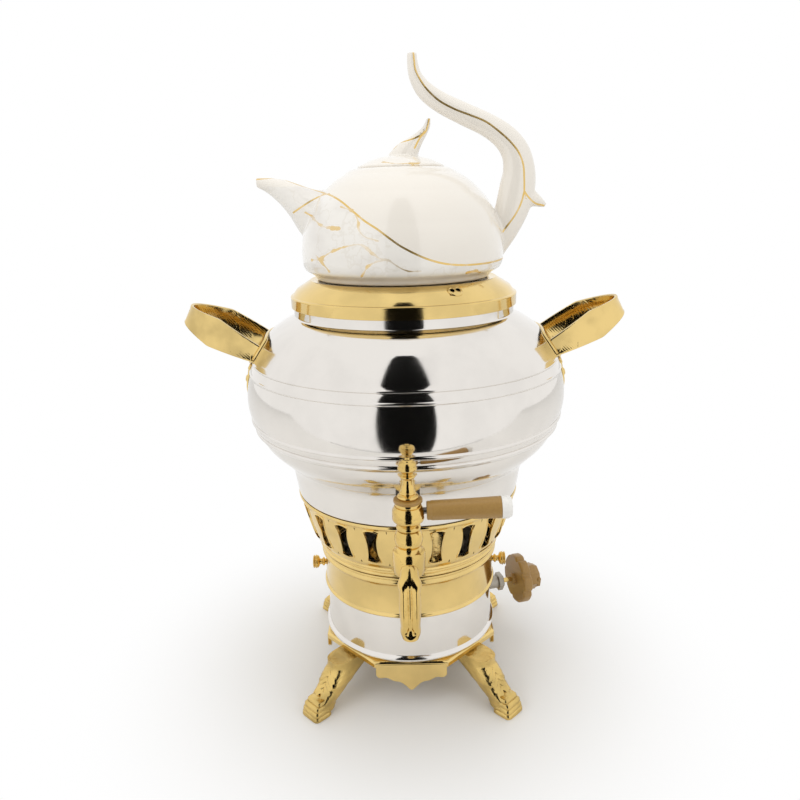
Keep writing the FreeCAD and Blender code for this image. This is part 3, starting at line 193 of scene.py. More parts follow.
def build(name, parts, finish, nodes=(), body="samovar", sharp=38.0, bevel=0.0, around=None):
    """One mesh from its parts, in millimetres, that rides on a body and stands for CAD nodes."""
    verts, faces = [], []
    for points, skin in parts:
        faces += [tuple(k + len(verts) for k in face) for face in skin]
        verts += list(np.array(points) * MM)
    mesh = bpy.data.meshes.new(name)
    mesh.from_pydata([tuple(v) for v in verts], [], faces)
    mesh.materials.append(finish.material)
    mesh.shade_smooth()
    mesh.set_sharp_from_angle(angle=math.radians(sharp))
    made = bpy.data.objects.new(name, mesh)
    bpy.context.scene.collection.objects.link(made)
    if around:
        copies_around(made, *around, finish)
    if bevel:
        edge = made.modifiers.new("bevel", "BEVEL")
        edge.width = bevel * MM
        edge.segments = 3
        edge.limit_method = "ANGLE"
        edge.angle_limit = math.radians(35.0)
    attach(made, body)
    if nodes:
        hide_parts(*nodes)
    return made


GOLD = (0.84, 0.62, 0.25)
gold = plated("gold_plate", "gilded_brass", GOLD, 0.07)
base_half, half_side, hole = 73.6, 30.5, 54.0
corners = []
for quarter in range(4):
    turn = Matrix.Rotation(math.radians(90 * quarter), 4, "Z")
    corners += [turn @ Vector((base_half, y, 0)) for y in (-half_side, half_side)]
plan = []
for here, there in zip(corners, corners[1:] + corners[:1]):
    plan += [here.lerp(there, t / 12).to_2d() for t in range(12)]
rings = []
for height, grow, rounded in ((38.0, -1.2, False), (38.8, 0.0, False), (42.8, 0.0, False),
                              (44.0, -1.4, False), (44.0, 0.0, True), (41.0, 0.0, True), (38.6, -3.0, False)):
    ring = [p.normalized() * hole if rounded else p * (1.0 + grow / p.length) for p in plan]
    rings.append([(p.x, p.y, height) for p in ring])
deck = [loft(rings, closed=True)]
scallop = [(-29.5, 42.0), (-29.5, 31.5), (-28.0, 29.6), (-25.5, 28.8), (-22.5, 29.3), (-20.0, 29.0),
           (-17.5, 27.6), (-15.5, 26.2), (-13.0, 25.6), (-10.5, 25.2), (-7.5, 23.6), (-4.5, 20.8),
           (-2.2, 18.2), (0.0, 16.8)]
scallop += [(-x, z) for x, z in scallop[-2::-1]]
hung = Matrix.Translation((0, -73.9, 0)) @ Matrix.Rotation(math.radians(90), 4, "X")
for quarter in range(4):
    deck.append(plate(scallop, -3.2, Matrix.Rotation(math.radians(90 * quarter), 4, "Z") @ hung))
build("gilded_base", deck, gold, ["base_frame"], bevel=0.5)

# Legs: four brass castings, gold plated. Each has a carved knee with a leaf, a hatched calf and a
# stepped square toe, and is held under the base by one screw.
cast_gold = plated("cast_gold", "gilded_brass", (0.80, 0.57, 0.20), 0.12, grain=0.0005, scale=190.0,
                   dull=0.62)


def smooth_rows(rows, count):
    """Rows of numbers resampled on a smooth curve through them."""
    rows = np.array(rows, float)
    rows = np.vstack([2 * rows[0] - rows[1], rows, 2 * rows[-1] - rows[-2]])
    out = []
    for s in np.linspace(1, len(rows) - 2, count):
        i = min(int(s), len(rows) - 3)
        t = s - i
        a, b, c, d = rows[i - 1:i + 3]
        out.append(0.5 * (2 * b + (c - a) * t + (2 * a - 5 * b + 4 * c - d) * t ** 2
                          + (3 * b - a - 3 * c + d) * t ** 3))
    return out


def around_ring(count, power, start=0.0):
    """Steps round a squarish ring: the cosine, the sine and how far the ring swells past a circle."""
    for k in range(count):
        angle = 2 * math.pi * (k + start) / count
        cosine, sine = math.cos(angle), math.sin(angle)
        yield cosine, sine, (abs(cosine) ** power + abs(sine) ** power) ** (-1 / power)


def on_diagonal(turn, radial, side, height):
    """A point by its distance out along a leg's diagonal, and to the side of it."""
    return (radial * math.cos(turn) - side * math.sin(turn),
            radial * math.sin(turn) + side * math.cos(turn), height)


def leg_skin(turn):
    """The leg from hip to ankle, with a veined leaf down its front and hatching on its sides."""
    rings = []
    stations = [(74.5, 41.0, 20.5, 10.8), (75.5, 35.0, 20.0, 11.0), (82.0, 30.0, 17.5, 11.4),
                (88.0, 25.5, 14.5, 11.6), (92.5, 21.0, 12.5, 11.2), (97.5, 16.5, 11.5, 10.4),
                (102.5, 12.5, 11.0, 9.8), (107.0, 8.0, 11.0, 9.6), (109.0, 3.5, 10.5, 9.6)]
    ankle, hip, hatch_top = 9.0, 35.0, 24.0
    leaf_deep, leaf_pitch, groove_deep, groove_wide = 0.75, 4.2, 1.5, 1.3
    hatch_deep, hatch_pitch = 0.35, 2.6
    for out, height, long, wide in smooth_rows(stations, 64):
        ring = []
        for cosine, sine, swell in around_ring(72, 3.2):
            carved = 0.0
            if cosine > 0.1 and ankle < height < hip:
                fade = min(1.0, (height - ankle) / 4.0, (hip - height) / 4.0)
                across = sine * wide
                leaf = max(0.0, 1 - abs(across) / (0.9 * wide)) * fade
                carved += leaf_deep * leaf * math.sin((height + 0.9 * abs(across)) * 2 * math.pi / leaf_pitch)
                carved -= groove_deep * fade * math.exp(-(across / groove_wide) ** 2)
            if abs(sine) > 0.6 and height < hatch_top:
                carved += hatch_deep * math.sin((out + 1.4 * height) * 2 * math.pi / hatch_pitch)
            ring.append(on_diagonal(turn, out + (long * swell + carved) * cosine,
                                    (wide * swell + 0.6 * carved) * sine, height))
        rings.append(ring)
    return loft(rings)


def toe_skin(turn, low, high, start, end, half):
    """One step of the square toe, wider at its foot than at its top."""
    rings = []
    for height, grow in ((low, -0.6), (low + 0.6, 0.0), (high - 1.2, -0.3), (high, -1.6)):
        long = 0.5 * (end - start) + grow
        rings.append([on_diagonal(turn, 0.5 * (start + end) + long * swell * cosine,
                                  (half + grow) * swell * sine, height)
                      for cosine, sine, swell in around_ring(40, 6, start=0.5)])
    return loft(rings)


toe_steps = [(0.0, 4.4, 104.0, 121.6, 10.6), (4.0, 8.4, 103.0, 121.0, 10.0),
             (8.0, 12.2, 102.0, 119.8, 9.4), (11.8, 15.4, 101.0, 117.0, 8.4)]
for label, degrees in (("front_right_leg", -45), ("back_right_leg", 45),
                       ("back_left_leg", 135), ("front_left_leg", 225)):
    way = math.radians(degrees)
    build("carved_" + label, [leg_skin(way)] + [toe_skin(way, *step) for step in toe_steps],
          cast_gold, [label], sharp=50.0)

# Drum: spun stainless sheet with a rolled rim at its foot, and a gold-plated band pressed over its
# top. Two thumbscrews pass through the band, so that the tank lifts off the burner.


def arcs(section, steps=8):
    """Points along an outline of (radius, height), with the bulge of the arc that leaves a point."""
    points = []
    for here, there in zip(section, section[1:] + section[:1]):
        start, end = np.array(here[:2], float), np.array(there[:2], float)
        points.append(start)
        if len(here) > 2:
            chord = end - start
            side = np.array((chord[1], -chord[0])) / np.hypot(*chord)
            for t in np.linspace(0, 1, steps + 1)[1:-1]:
                points.append(start + t * chord + side * 4 * here[2] * t * (1 - t))
    return points


def eased(points, radius, closed):
    """The same outline with its sharp corners rounded over."""
    out = []
    for i, point in enumerate(points):
        first, second = points[i - 1] - point, points[(i + 1) % len(points)] - point
        before, after = np.hypot(*first), np.hypot(*second)
        an_end = not closed and i in (0, len(points) - 1)
        if an_end or min(before, after) < 1e-6 or -np.dot(first, second) / (before * after) > 0.9:
            out.append(point)
            continue
        start = point + first / before * min(radius, 0.4 * before)
        end = point + second / after * min(radius, 0.4 * after)
        for t in (0.0, 0.25, 0.5, 0.75, 1.0):
            out.append((1 - t) ** 2 * start + 2 * t * (1 - t) * point + t * t * end)
    return out


def spun(section, ease=0.3, turns=176, closed=True):
    """A turned part: a closed outline, or an open one whose two ends lie on the axis."""
    points = eased(arcs(section), ease, closed)
    angles = np.linspace(0, 2 * math.pi, turns, endpoint=False)
    ring = np.stack([np.cos(angles), np.sin(angles), np.zeros(turns)], 1)
    if closed:
        return loft([ring * p[0] + (0, 0, p[1]) for p in points], closed=True)
    rim = points[1:-1]
    ends = [(0, 0, points[0][1]), (0, 0, points[-1][1])]
    verts = np.vstack([ring * p[0] + (0, 0, p[1]) for p in rim] + ends)
    low, last = len(rim) * turns, (len(rim) - 1) * turns
    faces = quads(len(rim), turns)
    for k in range(turns):
        beside = (k + 1) % turns
        faces += [(low, beside, k), (low + 1, last + k, last + beside)]
    return outward(verts, faces)


def aimed(part, origin, axis, roll=0.0):
    """A part moved so that its upright axis starts at a point and runs along a direction."""
    turn = Vector(axis).to_track_quat("Z", "Y").to_matrix() @ Matrix.Rotation(roll, 3, "Z")
    return part[0] @ np.array(turn).T + np.array(origin, float), part[1]


steel = plated("polished_steel", "polished_steel", (0.82, 0.785, 0.74), 0.05, dull=0.94)
drum = [(71.9, 44.2), (73.6, 44.0, 2.4), (73.6, 50.0), (73.6, 51.0), (71.5, 110.0), (70.3, 110.0),
        (72.4, 51.0)]
build("steel_drum", [spun(drum)], steel, ["base_drum"])
band = [(75.0, 86.2, 0.9), (75.0, 88.6), (74.4, 89.4), (74.4, 113.4), (75.2, 115.6), (76.0, 116.2, 1.0),
        (76.0, 119.8), (75.6, 120.6), (76.9, 121.6), (76.9, 123.4), (74.2, 123.4), (72.9, 113.0),
        (72.9, 86.2)]
build("gold_band", [spun(band)], gold, ["drum_band"])
brass = plated("tap_brass", "polished_brass", (0.80, 0.56, 0.19), 0.10, grain=0.0002, scale=120.0, dull=0.78)
thumb_start, thumb_high = 72.6, 98.0
thumbscrew = [(0, 0), (2.4, 0), (2.4, 3.6), (3.4, 4.0, 0.4), (3.4, 5.6), (2.5, 6.2), (2.5, 8.0),
              (4.4, 8.8, 0.5), (5.6, 11.0, 0.5), (5.6, 12.0), (5.0, 12.2), (5.0, 12.6), (5.6, 12.8, 0.4),
              (5.2, 14.0), (0, 14.4)]
for side, sign in (("left", -1), ("right", 1)):
    head = aimed(spun(thumbscrew, 0.3, 48, closed=False), (sign * thumb_start, 0, thumb_high), (sign, 0, 0))
    build("knurled_%s_screw" % side, [head], brass, [side + "_thumbscrew"], side + "_screw")

# Gas valve: a brass body and a plated hex nut through the drum's side, and a moulded knob with
# eight lobes and a faceted boss on the valve's stem. The hose nipple leaves at the back.


def layered(outline, levels):
    """A solid of like outlines one above the other, as (height, how far each is drawn in)."""
    outline = np.array(outline, float)
    reach = np.hypot(outline[:, 0], outline[:, 1]).max()
    return loft([[(x * (1.0 - inset / reach), y * (1.0 - inset / reach), height) for x, y in outline]
                 for height, inset in levels])


def polygon(radius, sides, per_side=6):
    """A regular outline with points along its sides."""
    corners = [(radius * math.cos(2 * math.pi * i / sides), radius * math.sin(2 * math.pi * i / sides))
               for i in range(sides)]
    points = []
    for (a, b), (c, d) in zip(corners, corners[1:] + corners[:1]):
        points += [(a + (c - a) * t / per_side, b + (d - b) * t / per_side) for t in range(per_side)]
    return points


valve_turn, valve_high = math.radians(16.0), 60.0
valve_way = Vector((math.cos(valve_turn), math.sin(valve_turn), 0))


def on_valve(part, distance, roll=0.0):
    """A part on the valve's axis, its start at a distance from the drum's centre."""
    return aimed(part, valve_way * distance + Vector((0, 0, valve_high)), valve_way, roll)


nickel = plated("dull_nickel", "polished_brass", (0.42, 0.38, 0.32), 0.28, grain=0.0003, scale=500.0,
                dull=0.7)
tube = [(5.9, 0.0), (5.9, 33.0), (2.4, 33.0), (2.4, 0.0)]
build("valve_barrel", [on_valve(spun(tube, 0.5, 64), 57.6)], nickel, ["valve_body"])
nut = layered(polygon(8.5, 6), ((0.0, 1.2), (0.7, 0.0), (4.8, 0.0), (5.5, 1.2)))
build("valve_hex_nut", [on_valve(nut, 85.9)], nickel, ["valve_nut"])

amber = Finish("bronze_plastic", "amber_plastic", Coat_Roughness=0.3)
streak = amber.noise(3.0, 3.0, at=amber.stretched(300.0, 60.0, 300.0))
amber.drive(Base_Color=amber.mix(streak, (0.40, 0.235, 0.060), (0.31, 0.17, 0.040)),
            Roughness=0.34 + 0.1 * amber.noise(90.0), Coat_Weight=0.15 + 0.1 * streak)
amber.bump(amber.noise(700.0, 2.0), 0.0002, 0.4)
knob_start, knob_rad, notch_deep, notches = 104.3, 23.0, 2.3, 8
lobes = []
for k in range(192):
    angle = 2 * math.pi * k / 192
    reach = knob_rad - notch_deep * max(0.0, math.cos(notches * angle)) ** 3
    lobes.append((reach * math.cos(angle), reach * math.sin(angle)))
knob = [layered(lobes, ((0.0, 1.4), (1.0, 0.2), (1.8, 0.0), (7.4, 0.0), (8.3, 0.4), (9.0, 1.6))),
        layered(lobes, ((8.6, 5.0), (9.6, 6.2))),
        layered(polygon(12.6, 8), ((8.0, 0.0), (18.4, 0.0), (19.6, 0.9), (22.4, 1.8), (22.5, 2.6))),
        plate([(-11.4, -4.4), (11.4, -4.4), (11.4, 4.4), (-11.4, 4.4)], 3.0,
              Matrix.Translation((0, 0, 19.5))),
        spun([(0, -3.0), (5.0, -3.0), (5.2, 0.6), (0, 0.6)], 0.3, 48, closed=False)]
build("gas_tap_knob", [on_valve(part, knob_start, math.radians(11)) for part in knob], amber,
      ["gas_knob"], "gas_knob_set", bevel=0.3)
nipple = [(2.6, 0.0), (2.6, 36.0), (4.0, 36.0), (5.0, 33.6), (4.2, 33.4), (5.0, 29.6), (4.2, 29.4),
          (5.0, 25.6), (4.2, 25.4), (5.0, 21.6), (4.6, 21.2), (4.6, 13.4), (8.0, 13.4), (8.0, 10.4),
          (4.9, 10.4), (4.9, 0.0)]
build("hose_nipple", [aimed(spun(nipple, 0.25, 64), (0, 63.1, 64), (0, 1, 0))], brass, ["gas_inlet"])

# Vent ring: gold-plated sheet, spun to a bowl and pierced with twenty-two waisted slots that let
# the hot gas out. Each slot has a raised lip.


def copies_around(made, count, turn, finish):
    """Geometry nodes: even copies round the upright axis, made one plain mesh."""
    tree = bpy.data.node_groups.new("copies_around", "GeometryNodeTree")
    sockets = {}
    for name, kind in (("Shape", "Geometry"), ("Count", "Int"), ("Turn", "Float"), ("Finish", "Material")):
        socket = tree.interface.new_socket(name, in_out="INPUT", socket_type="NodeSocket" + kind)
        sockets[name] = socket.identifier
    tree.interface.new_socket("Shape", in_out="OUTPUT", socket_type="NodeSocketGeometry")
    given, line, index, share, angle, vector, turned, placed, real, merged, coated, result = [
        tree.nodes.new(kind) for kind in (
            "NodeGroupInput", "GeometryNodeMeshLine", "GeometryNodeInputIndex", "ShaderNodeMath",
            "ShaderNodeMath", "ShaderNodeCombineXYZ", "FunctionNodeEulerToRotation",
            "GeometryNodeInstanceOnPoints", "GeometryNodeRealizeInstances", "GeometryNodeMergeByDistance",
            "GeometryNodeSetMaterial", "NodeGroupOutput")]
    line.inputs["Offset"].default_value = (0, 0, 0)
    share.operation, angle.operation = "DIVIDE", "MULTIPLY_ADD"
    angle.inputs[1].default_value = 2 * math.pi
    merged.inputs["Distance"].default_value = 0.00001
    for start, end in ((given.outputs["Count"], line.inputs["Count"]), (index.outputs[0], share.inputs[0]),
                       (given.outputs["Count"], share.inputs[1]), (share.outputs[0], angle.inputs[0]),
                       (given.outputs["Turn"], angle.inputs[2]), (angle.outputs[0], vector.inputs["Z"]),
                       (vector.outputs[0], turned.inputs[0]), (line.outputs[0], placed.inputs["Points"]),
                       (given.outputs["Shape"], placed.inputs["Instance"]),
                       (turned.outputs[0], placed.inputs["Rotation"]), (placed.outputs[0], real.inputs[0]),
                       (real.outputs[0], merged.inputs["Geometry"]),
                       (merged.outputs[0], coated.inputs["Geometry"]),
                       (given.outputs["Finish"], coated.inputs["Material"]),
                       (coated.outputs[0], result.inputs[0])):
        tree.links.new(start, end)
    modifier = made.modifiers.new("copies", "NODES")
    modifier.node_group = tree
    modifier[sockets["Count"]] = count
    modifier[sockets["Turn"]] = turn
    modifier[sockets["Finish"]] = finish.material
    settle(made)


def settle(made):
    """Makes a piece's modifiers final, as one plain mesh."""
    view = bpy.context.evaluated_depsgraph_get()
    view.update()
    plain = bpy.data.meshes.new_from_object(made.evaluated_get(view))
    made.modifiers.clear()
    made.data = plain


slots, slot_middle, bay_low, bay_high, sheet = 22, 154.4, 137.0, 171.4, 1.5
bowl = arcs([(77.0, 124.0), (77.0, 127.0), (78.6, 131.5), (82.0, 135.5, 0.5), (91.9, 170.7, 0.3),
             (93.4, 175.7)])


def bowl_radius(height):
    return float(np.interp(height, [p[1] for p in bowl], [p[0] for p in bowl]))


def slot_outline(grow):
    """The waisted slot, as (distance to the side, height), widened by so many millimetres."""
    corners = [(-5.4, 140.6), (5.4, 140.6), (5.8, 168.2), (-5.8, 168.2)]
    bends = [(0.0, -1.2), (-2.0, 0.0), (0.0, 1.4), (2.0, 0.0)]
    points = []
    for i, steps in enumerate((8, 22, 8, 22)):
        start, end = np.array(corners[i]), np.array(corners[(i + 1) % 4])
        for k in range(steps):
            t = k / steps
            point = start + t * (end - start) + np.array(bends[i]) * 4 * t * (1 - t)
            away = point - np.array((0.0, slot_middle))
            points.append(point + grow * away / np.hypot(*away) * (1.0, 0.6))
    return np.array(points)


def bay_skin():
    """One slot with its lip and the sheet round it, out to halfway to its neighbours."""
    rings = []
    for grow, lift in ((0.0, 0.0), (0.15, 0.55), (0.7, 0.7), (1.2, 0.35), (1.7, 0.0)):
        rings.append([(side / bowl_radius(height), height, lift) for side, height in slot_outline(grow)])
    inner = np.array(rings[-1])[:, :2]
    rim = []
    for side, height in slot_outline(0.0):
        across, rise = side / 11.5, (height - slot_middle) / 14.0
        reach = max(abs(across), abs(rise))
        rim.append((across / reach * math.pi / slots,
                    0.5 * (bay_low + bay_high) + rise / reach * 0.5 * (bay_high - bay_low)))
    for share in (0.25, 0.5, 0.75, 1.0):
        rings.append([(angle, height, 0.0) for angle, height in inner + share * (np.array(rim) - inner)])
    skins = []
    for ring in [[(a, h, -sheet) for a, h, _ in r] for r in rings[::-1]] + rings:
        skins.append([((bowl_radius(h) + lift) * math.cos(a), (bowl_radius(h) + lift) * math.sin(a), h)
                      for a, h, lift in ring])
    return loft(skins, capped=False)


build("pierced_bowl", [bay_skin()], gold, ["vent_ring"], around=(slots, math.radians(-92.3)))
top_joint, foot_joint = (bowl_radius(170.6), 170.6), (bowl_radius(137.6), 137.6)
top_rim = [top_joint, (92.6, 172.0), (93.5, 172.6, 0.5), (93.5, 175.5), (91.9, 175.5),
           (top_joint[0] - 1.4, top_joint[1])]
foot_rim = [(77.0, 124.2, 1.1), (77.0, 127.2), (77.9, 128.0), (77.9, 129.6, 0.9), (78.9, 132.6),
            (80.4, 133.6), foot_joint, (foot_joint[0] - 1.4, foot_joint[1]), (77.0, 132.0), (75.6, 124.2)]
build("bowl_rims", [spun(top_rim), spun(foot_rim)], gold)

# Tank: one shell of stainless sheet, spun and mirror polished, with two pairs of rolled ribs round
# its belly and a straight collar for the cover.


def shell(outer, wall):
    """A turned sheet: its outer outline, then the same line less the sheet's thickness."""
    inner = [(p[0] - wall, p[1]) for p in outer][::-1]
    bulges = [tuple(-b for b in p[2:]) for p in outer[:-1]][::-1]
    return outer + [spot + bulge for spot, bulge in zip(inner, bulges + [()])]


outside = [(93.6, 176.2), (96.9, 197.0, -1.2), (104.0, 208.5), (114.0, 218.5, 0.8), (122.3, 231.3, 0.1),
           (125.0, 233.7, 0.9), (125.0, 236.3, 0.2), (127.6, 241.7, 0.9), (127.6, 244.3, 0.9),
           (130.2, 262.0, 0.8), (126.6, 279.7, 0.9), (126.6, 282.3, 0.2), (123.8, 287.7, 0.9),
           (123.8, 290.3, 1.0), (109.5, 311.0, 0.9), (88.4, 324.0), (88.4, 333.8)]
build("belly_tank", [spun(shell(outside, 1.2), 1.2, 224)], steel, ["tank_shell"], sharp=60.0)

# Tap: cast brass, polished. A tapered barrel holds the turning plug, a spout with a fluted face
# falls from it, and a threaded shank with a flange passes through the tank's neck.
tap_y, tap_high = -140.0, 190.0
spout_rows = smooth_rows([(0.0, 171.5, 5.6, 5.9), (5.0, 172.2, 5.8, 6.0), (9.8, 170.8, 6.2, 6.0),
                          (13.6, 166.6, 6.7, 6.1), (16.0, 160.0, 7.2, 6.2), (17.0, 151.0, 7.5, 6.2),
                          (17.0, 142.0, 7.2, 6.1), (16.8, 134.0, 6.6, 5.7), (16.7, 126.2, 5.8, 5.2),
                          (16.7, 124.6, 5.4, 4.9)], 84)


def widened(height, across):
    """The scrolls at the top of the spout's face, and the swell above its mouth."""
    if 159.5 < height < 169.5 and abs(across) > 2.0:
        across += math.copysign(1.3 * math.cos((height - 164.5) / 5.0 * math.pi / 2) ** 2, across)
    if 126.0 < height < 134.0:
        across += math.copysign(0.7 * math.sin((height - 126.0) / 8.0 * math.pi), across)
    return across


def fluted(height, across):
    """How deep the spout's face is cut: a flute down its middle between two raised edges."""
    fade = max(0.0, min(1.0, (height - 127.0) / 4.0, (166.0 - height) / 5.0))
    return fade * (2.8 * math.exp(-(across / 2.3) ** 2) - 0.9 * math.exp(-((abs(across) - 4.9) / 1.1) ** 2))


rings = []
for i, (ahead, height, half, deep) in enumerate(spout_rows):
    before, after = spout_rows[max(i - 1, 0)], spout_rows[min(i + 1, len(spout_rows) - 1)]
    way = np.array((0, before[0] - after[0], after[1] - before[1]))
    front = np.cross(way / np.linalg.norm(way), (1.0, 0, 0))
    ring = []
    for k in range(96):
        across, depth = half * math.cos(2 * math.pi * k / 96), deep * math.sin(2 * math.pi * k / 96)
        if depth > 0:
            depth -= fluted(height, across)
        ring.append(np.array((widened(height, across), tap_y - ahead, height)) + front * depth)
    rings.append(ring)
mouth_ring = rings[-1]
mouth = np.mean(mouth_ring, axis=0)
rings += [[mouth + (p - mouth) * factor + (0, 0, rise) for p in mouth_ring]
          for factor, rise in ((0.84, -0.3), (0.66, 0.0), (0.6, 1.2), (0.56, 9.0))]
tap_skin = [loft(rings)]
for side in (-1, 1):
    for radius, height, out, ahead in ((3.3, 164.8, 4.3, 15.2), (2.3, 130.4, 4.2, 19.4)):
        curl = [(0, -1.4), (radius * 0.7, -1.4, 0.3), (radius, -0.3, 0.2), (radius, 0.3),
                (radius * 0.74, 1.0), (radius * 0.64, 0.4), (radius * 0.44, 0.4), (radius * 0.34, 1.3, 0.2),
                (0, 1.5)]
        tap_skin.append(aimed(spun(curl, 0.2, 40, closed=False), (side * out, tap_y - ahead, height),
                              (side * 0.72, -0.66, 0.2)))


def about_tap(section, turns=88, closed=False, ease=0.25):
    """A part turned about the tap's upright axis."""
    return aimed(spun(section, ease, turns, closed), (0, tap_y, 0), (0, 0, 1))


barrel = [(6.0, 164.8), (8.8, 164.8), (10.2, 165.4), (11.0, 167.0), (11.1, 174.0, 0.2), (11.0, 181.6),
          (10.3, 182.6), (9.2, 183.2), (8.3, 184.2, -0.2), (8.0, 185.6), (8.9, 187.2, 1.2), (8.2, 196.4),
          (7.5, 197.4), (6.0, 197.4)]
tap_skin.append(about_tap(barrel, 96, closed=True, ease=0.5))
build("brass_tap", tap_skin, brass, ["tap_body"], sharp=46.0)
shank = [(0, 0), (6.8, 0), (7.4, 1.6, 0.3), (7.4, 3.2), (6.5, 4.4), (6.4, 15.0), (7.2, 16.2, 0.3),
         (7.2, 18.6), (6.5, 19.8), (6.5, 31.0), (10.2, 31.2), (11.0, 31.9), (11.0, 33.4), (10.4, 33.9),
         (6.4, 33.9)]
thread_start, thread_pitch, threads = 37.0, 1.8, 8
for start in [thread_start + thread_pitch * ridge for ridge in range(threads)]:
    shank += [(6.4, start), (6.9, start + 0.5), (6.9, start + 0.9), (6.4, start + 1.4)]
shank += [(6.4, 52.4), (0, 52.4)]
build("tap_shank_tube", [aimed(spun(shank, 0.2, 72, closed=False), (0, -133.6, tap_high), (0, 1, 0))],
      brass, ["tap_shank"])

# Tap key: a brass plug that turns in the barrel, with a turned head. A moulded washer, a brass
# finial and a moulded lever with a white end cap go on the head and swing with it.
plug = [(0, 157.2), (2.2, 157.2), (2.4, 158.0), (2.4, 161.0), (5.0, 165.4), (5.7, 198.0), (5.7, 201.6),
        (0, 201.6)]
build("tapered_plug", [about_tap(plug)], brass, ["tap_plug"], "tap_key_set")
verts, faces = layered(polygon(5.1, 6), ((160.7, 0.6), (161.2, 0), (164.2, 0), (164.7, 0.6)))
build("plug_hex_nut", [(verts + (0, tap_y, 0), faces)], brass, ["tap_plug_nut"], "tap_key_set")
key = [(0, 197.6), (7.4, 197.6), (8.0, 198.4, 0.4), (8.0, 200.6), (7.0, 201.6, -0.3), (8.6, 203.2),
       (10.2, 204.6, 0.4), (10.7, 208.0, 0.3), (10.5, 212.6), (9.4, 214.4, 0.3), (8.6, 215.0),
       (8.9, 216.2, 0.2), (8.5, 217.7), (0, 217.7)]
build("key_head", [about_tap(key)], brass, ["tap_key"], "tap_key_set")
washer = [(0, 217.7), (9.2, 217.7), (9.8, 218.1), (9.8, 219.7), (9.3, 220.2), (0, 220.2)]
build("key_washer", [about_tap(washer)], amber, ["key_disc"], "tap_key_set")
finial = [(0, 220.2), (6.8, 220.2), (7.1, 221.2, 0.4), (6.4, 222.8), (5.2, 223.4), (5.6, 224.4, 0.3),
          (4.9, 225.6), (4.2, 229.0, -0.3), (3.6, 233.0, -0.1), (4.0, 234.6), (5.2, 235.6, 0.4),
          (4.7, 237.0), (3.6, 238.0), (5.4, 240.0, 0.8), (6.0, 243.2, 0.9), (4.0, 246.8, 0.4),
          (1.9, 248.0), (1.3, 248.7, 0.2), (0, 249.1)]
build("key_finial", [about_tap(finial)], brass, ["tap_finial"], "tap_key_set")


def middle(node):
    """The middle of a CAD node's box, in millimetres, on the tap's plane."""
    low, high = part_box(node)
    return Vector((0.5 * (low.x + high.x) / MM, tap_y, 0.5 * (low.z + high.z) / MM))


lever_middle = middle("lever_grip")
lever_way = (middle("lever_cap") - lever_middle).normalized()
sleeve_long = 50.0


def on_lever(section, distance, turns=64):
    """A turned part on the lever, its start measured from the middle of the grip."""
    return aimed(spun(section, 0.25, turns, closed=False), lever_middle + lever_way * distance, lever_way)


sleeve = [(0, 0), (5.8, 0), (6.4, 0.6), (6.4, 2.6), (6.7, 3.2), (7.0, 30.0), (7.5, 49.5),
          (7.2, sleeve_long), (0, sleeve_long)]
build("lever_sleeve", [on_lever(sleeve, -0.5 * sleeve_long)], amber, ["lever_grip"], "tap_key_set")
screw_steel = plated("screw_steel", "screw_steel", (0.30, 0.285, 0.27), 0.3, grain=0.0002, scale=600.0)
rod = [(0, -36.0), (2.2, -36.0), (2.2, 31.0), (0, 31.0)]
build("lever_core_rod", [on_lever(rod, 0.0, 32)], screw_steel, ["lever_rod"], "tap_key_set")
white = Finish("white_plastic", "white_plastic", Coat_Roughness=0.2)
white.drive(Base_Color=white.mix(white.noise(60.0, 3.0), (0.90, 0.89, 0.86), (0.80, 0.78, 0.74)),
            Roughness=0.32 + 0.12 * white.noise(120.0), Coat_Weight=0.2 + 0.2 * white.noise(40.0))
cap = [(0, 0), (7.6, 0), (7.8, 0.5), (7.8, 4.4), (6.9, 5.6), (6.4, 6.8), (2.4, 6.9), (2.4, 6.3), (0, 6.3)]
build("lever_end_cap", [on_lever(cap, 0.5 * sleeve_long)], white, ["lever_cap"], "tap_key_set")
screw_head = [(0, 0), (2.1, 0), (2.2, 0.5), (1.9, 1.0), (0.9, 1.2), (0.7, 0.5), (0, 0.5)]
build("lever_end_screw", [on_lever(screw_head, 31.4, 36)], screw_steel, ["lever_screw"], "tap_key_set")

# Handles: gold-plated strip bent to a loop, with its flat face engraved, and brazed to a bracket
# pressed to the belly's curve. Two riveted studs hold each bracket.
engraved = plated("engraved_gold", "gilded_brass", GOLD, 0.08, dull=0.7)
leaf = engraved.noise(120.0, 1.0, at=engraved.stretched(1.0, 1.0, 0.6)).step(0.49, 0.53)
hatch = engraved.node("ShaderNodeTexWave", {"wave_type": "BANDS", "bands_direction": "DIAGONAL"},
                      {"Vector": engraved.at(), "Scale": 260.0, "Distortion": 1.5, "Detail": 1.0})
engraved.bump(leaf + (1 - leaf) * hatch * 0.5, 0.0002, 0.35)
belly = [p for p in arcs(outside) if 205.0 < p[1] < 326.0]
loop_reach, loop_half, strip, loop_ends = 62.0, 31.0, 2.6, math.radians(103.0)
root_out, root_high, rise = 121.0, 299.0, math.radians(27.0)
stud_heights = (270.0, 296.0)


def belly_radius(height):
    """The tank's outer radius at a height on the belly."""
    return float(np.interp(height, [p[1] for p in belly], [p[0] for p in belly]))


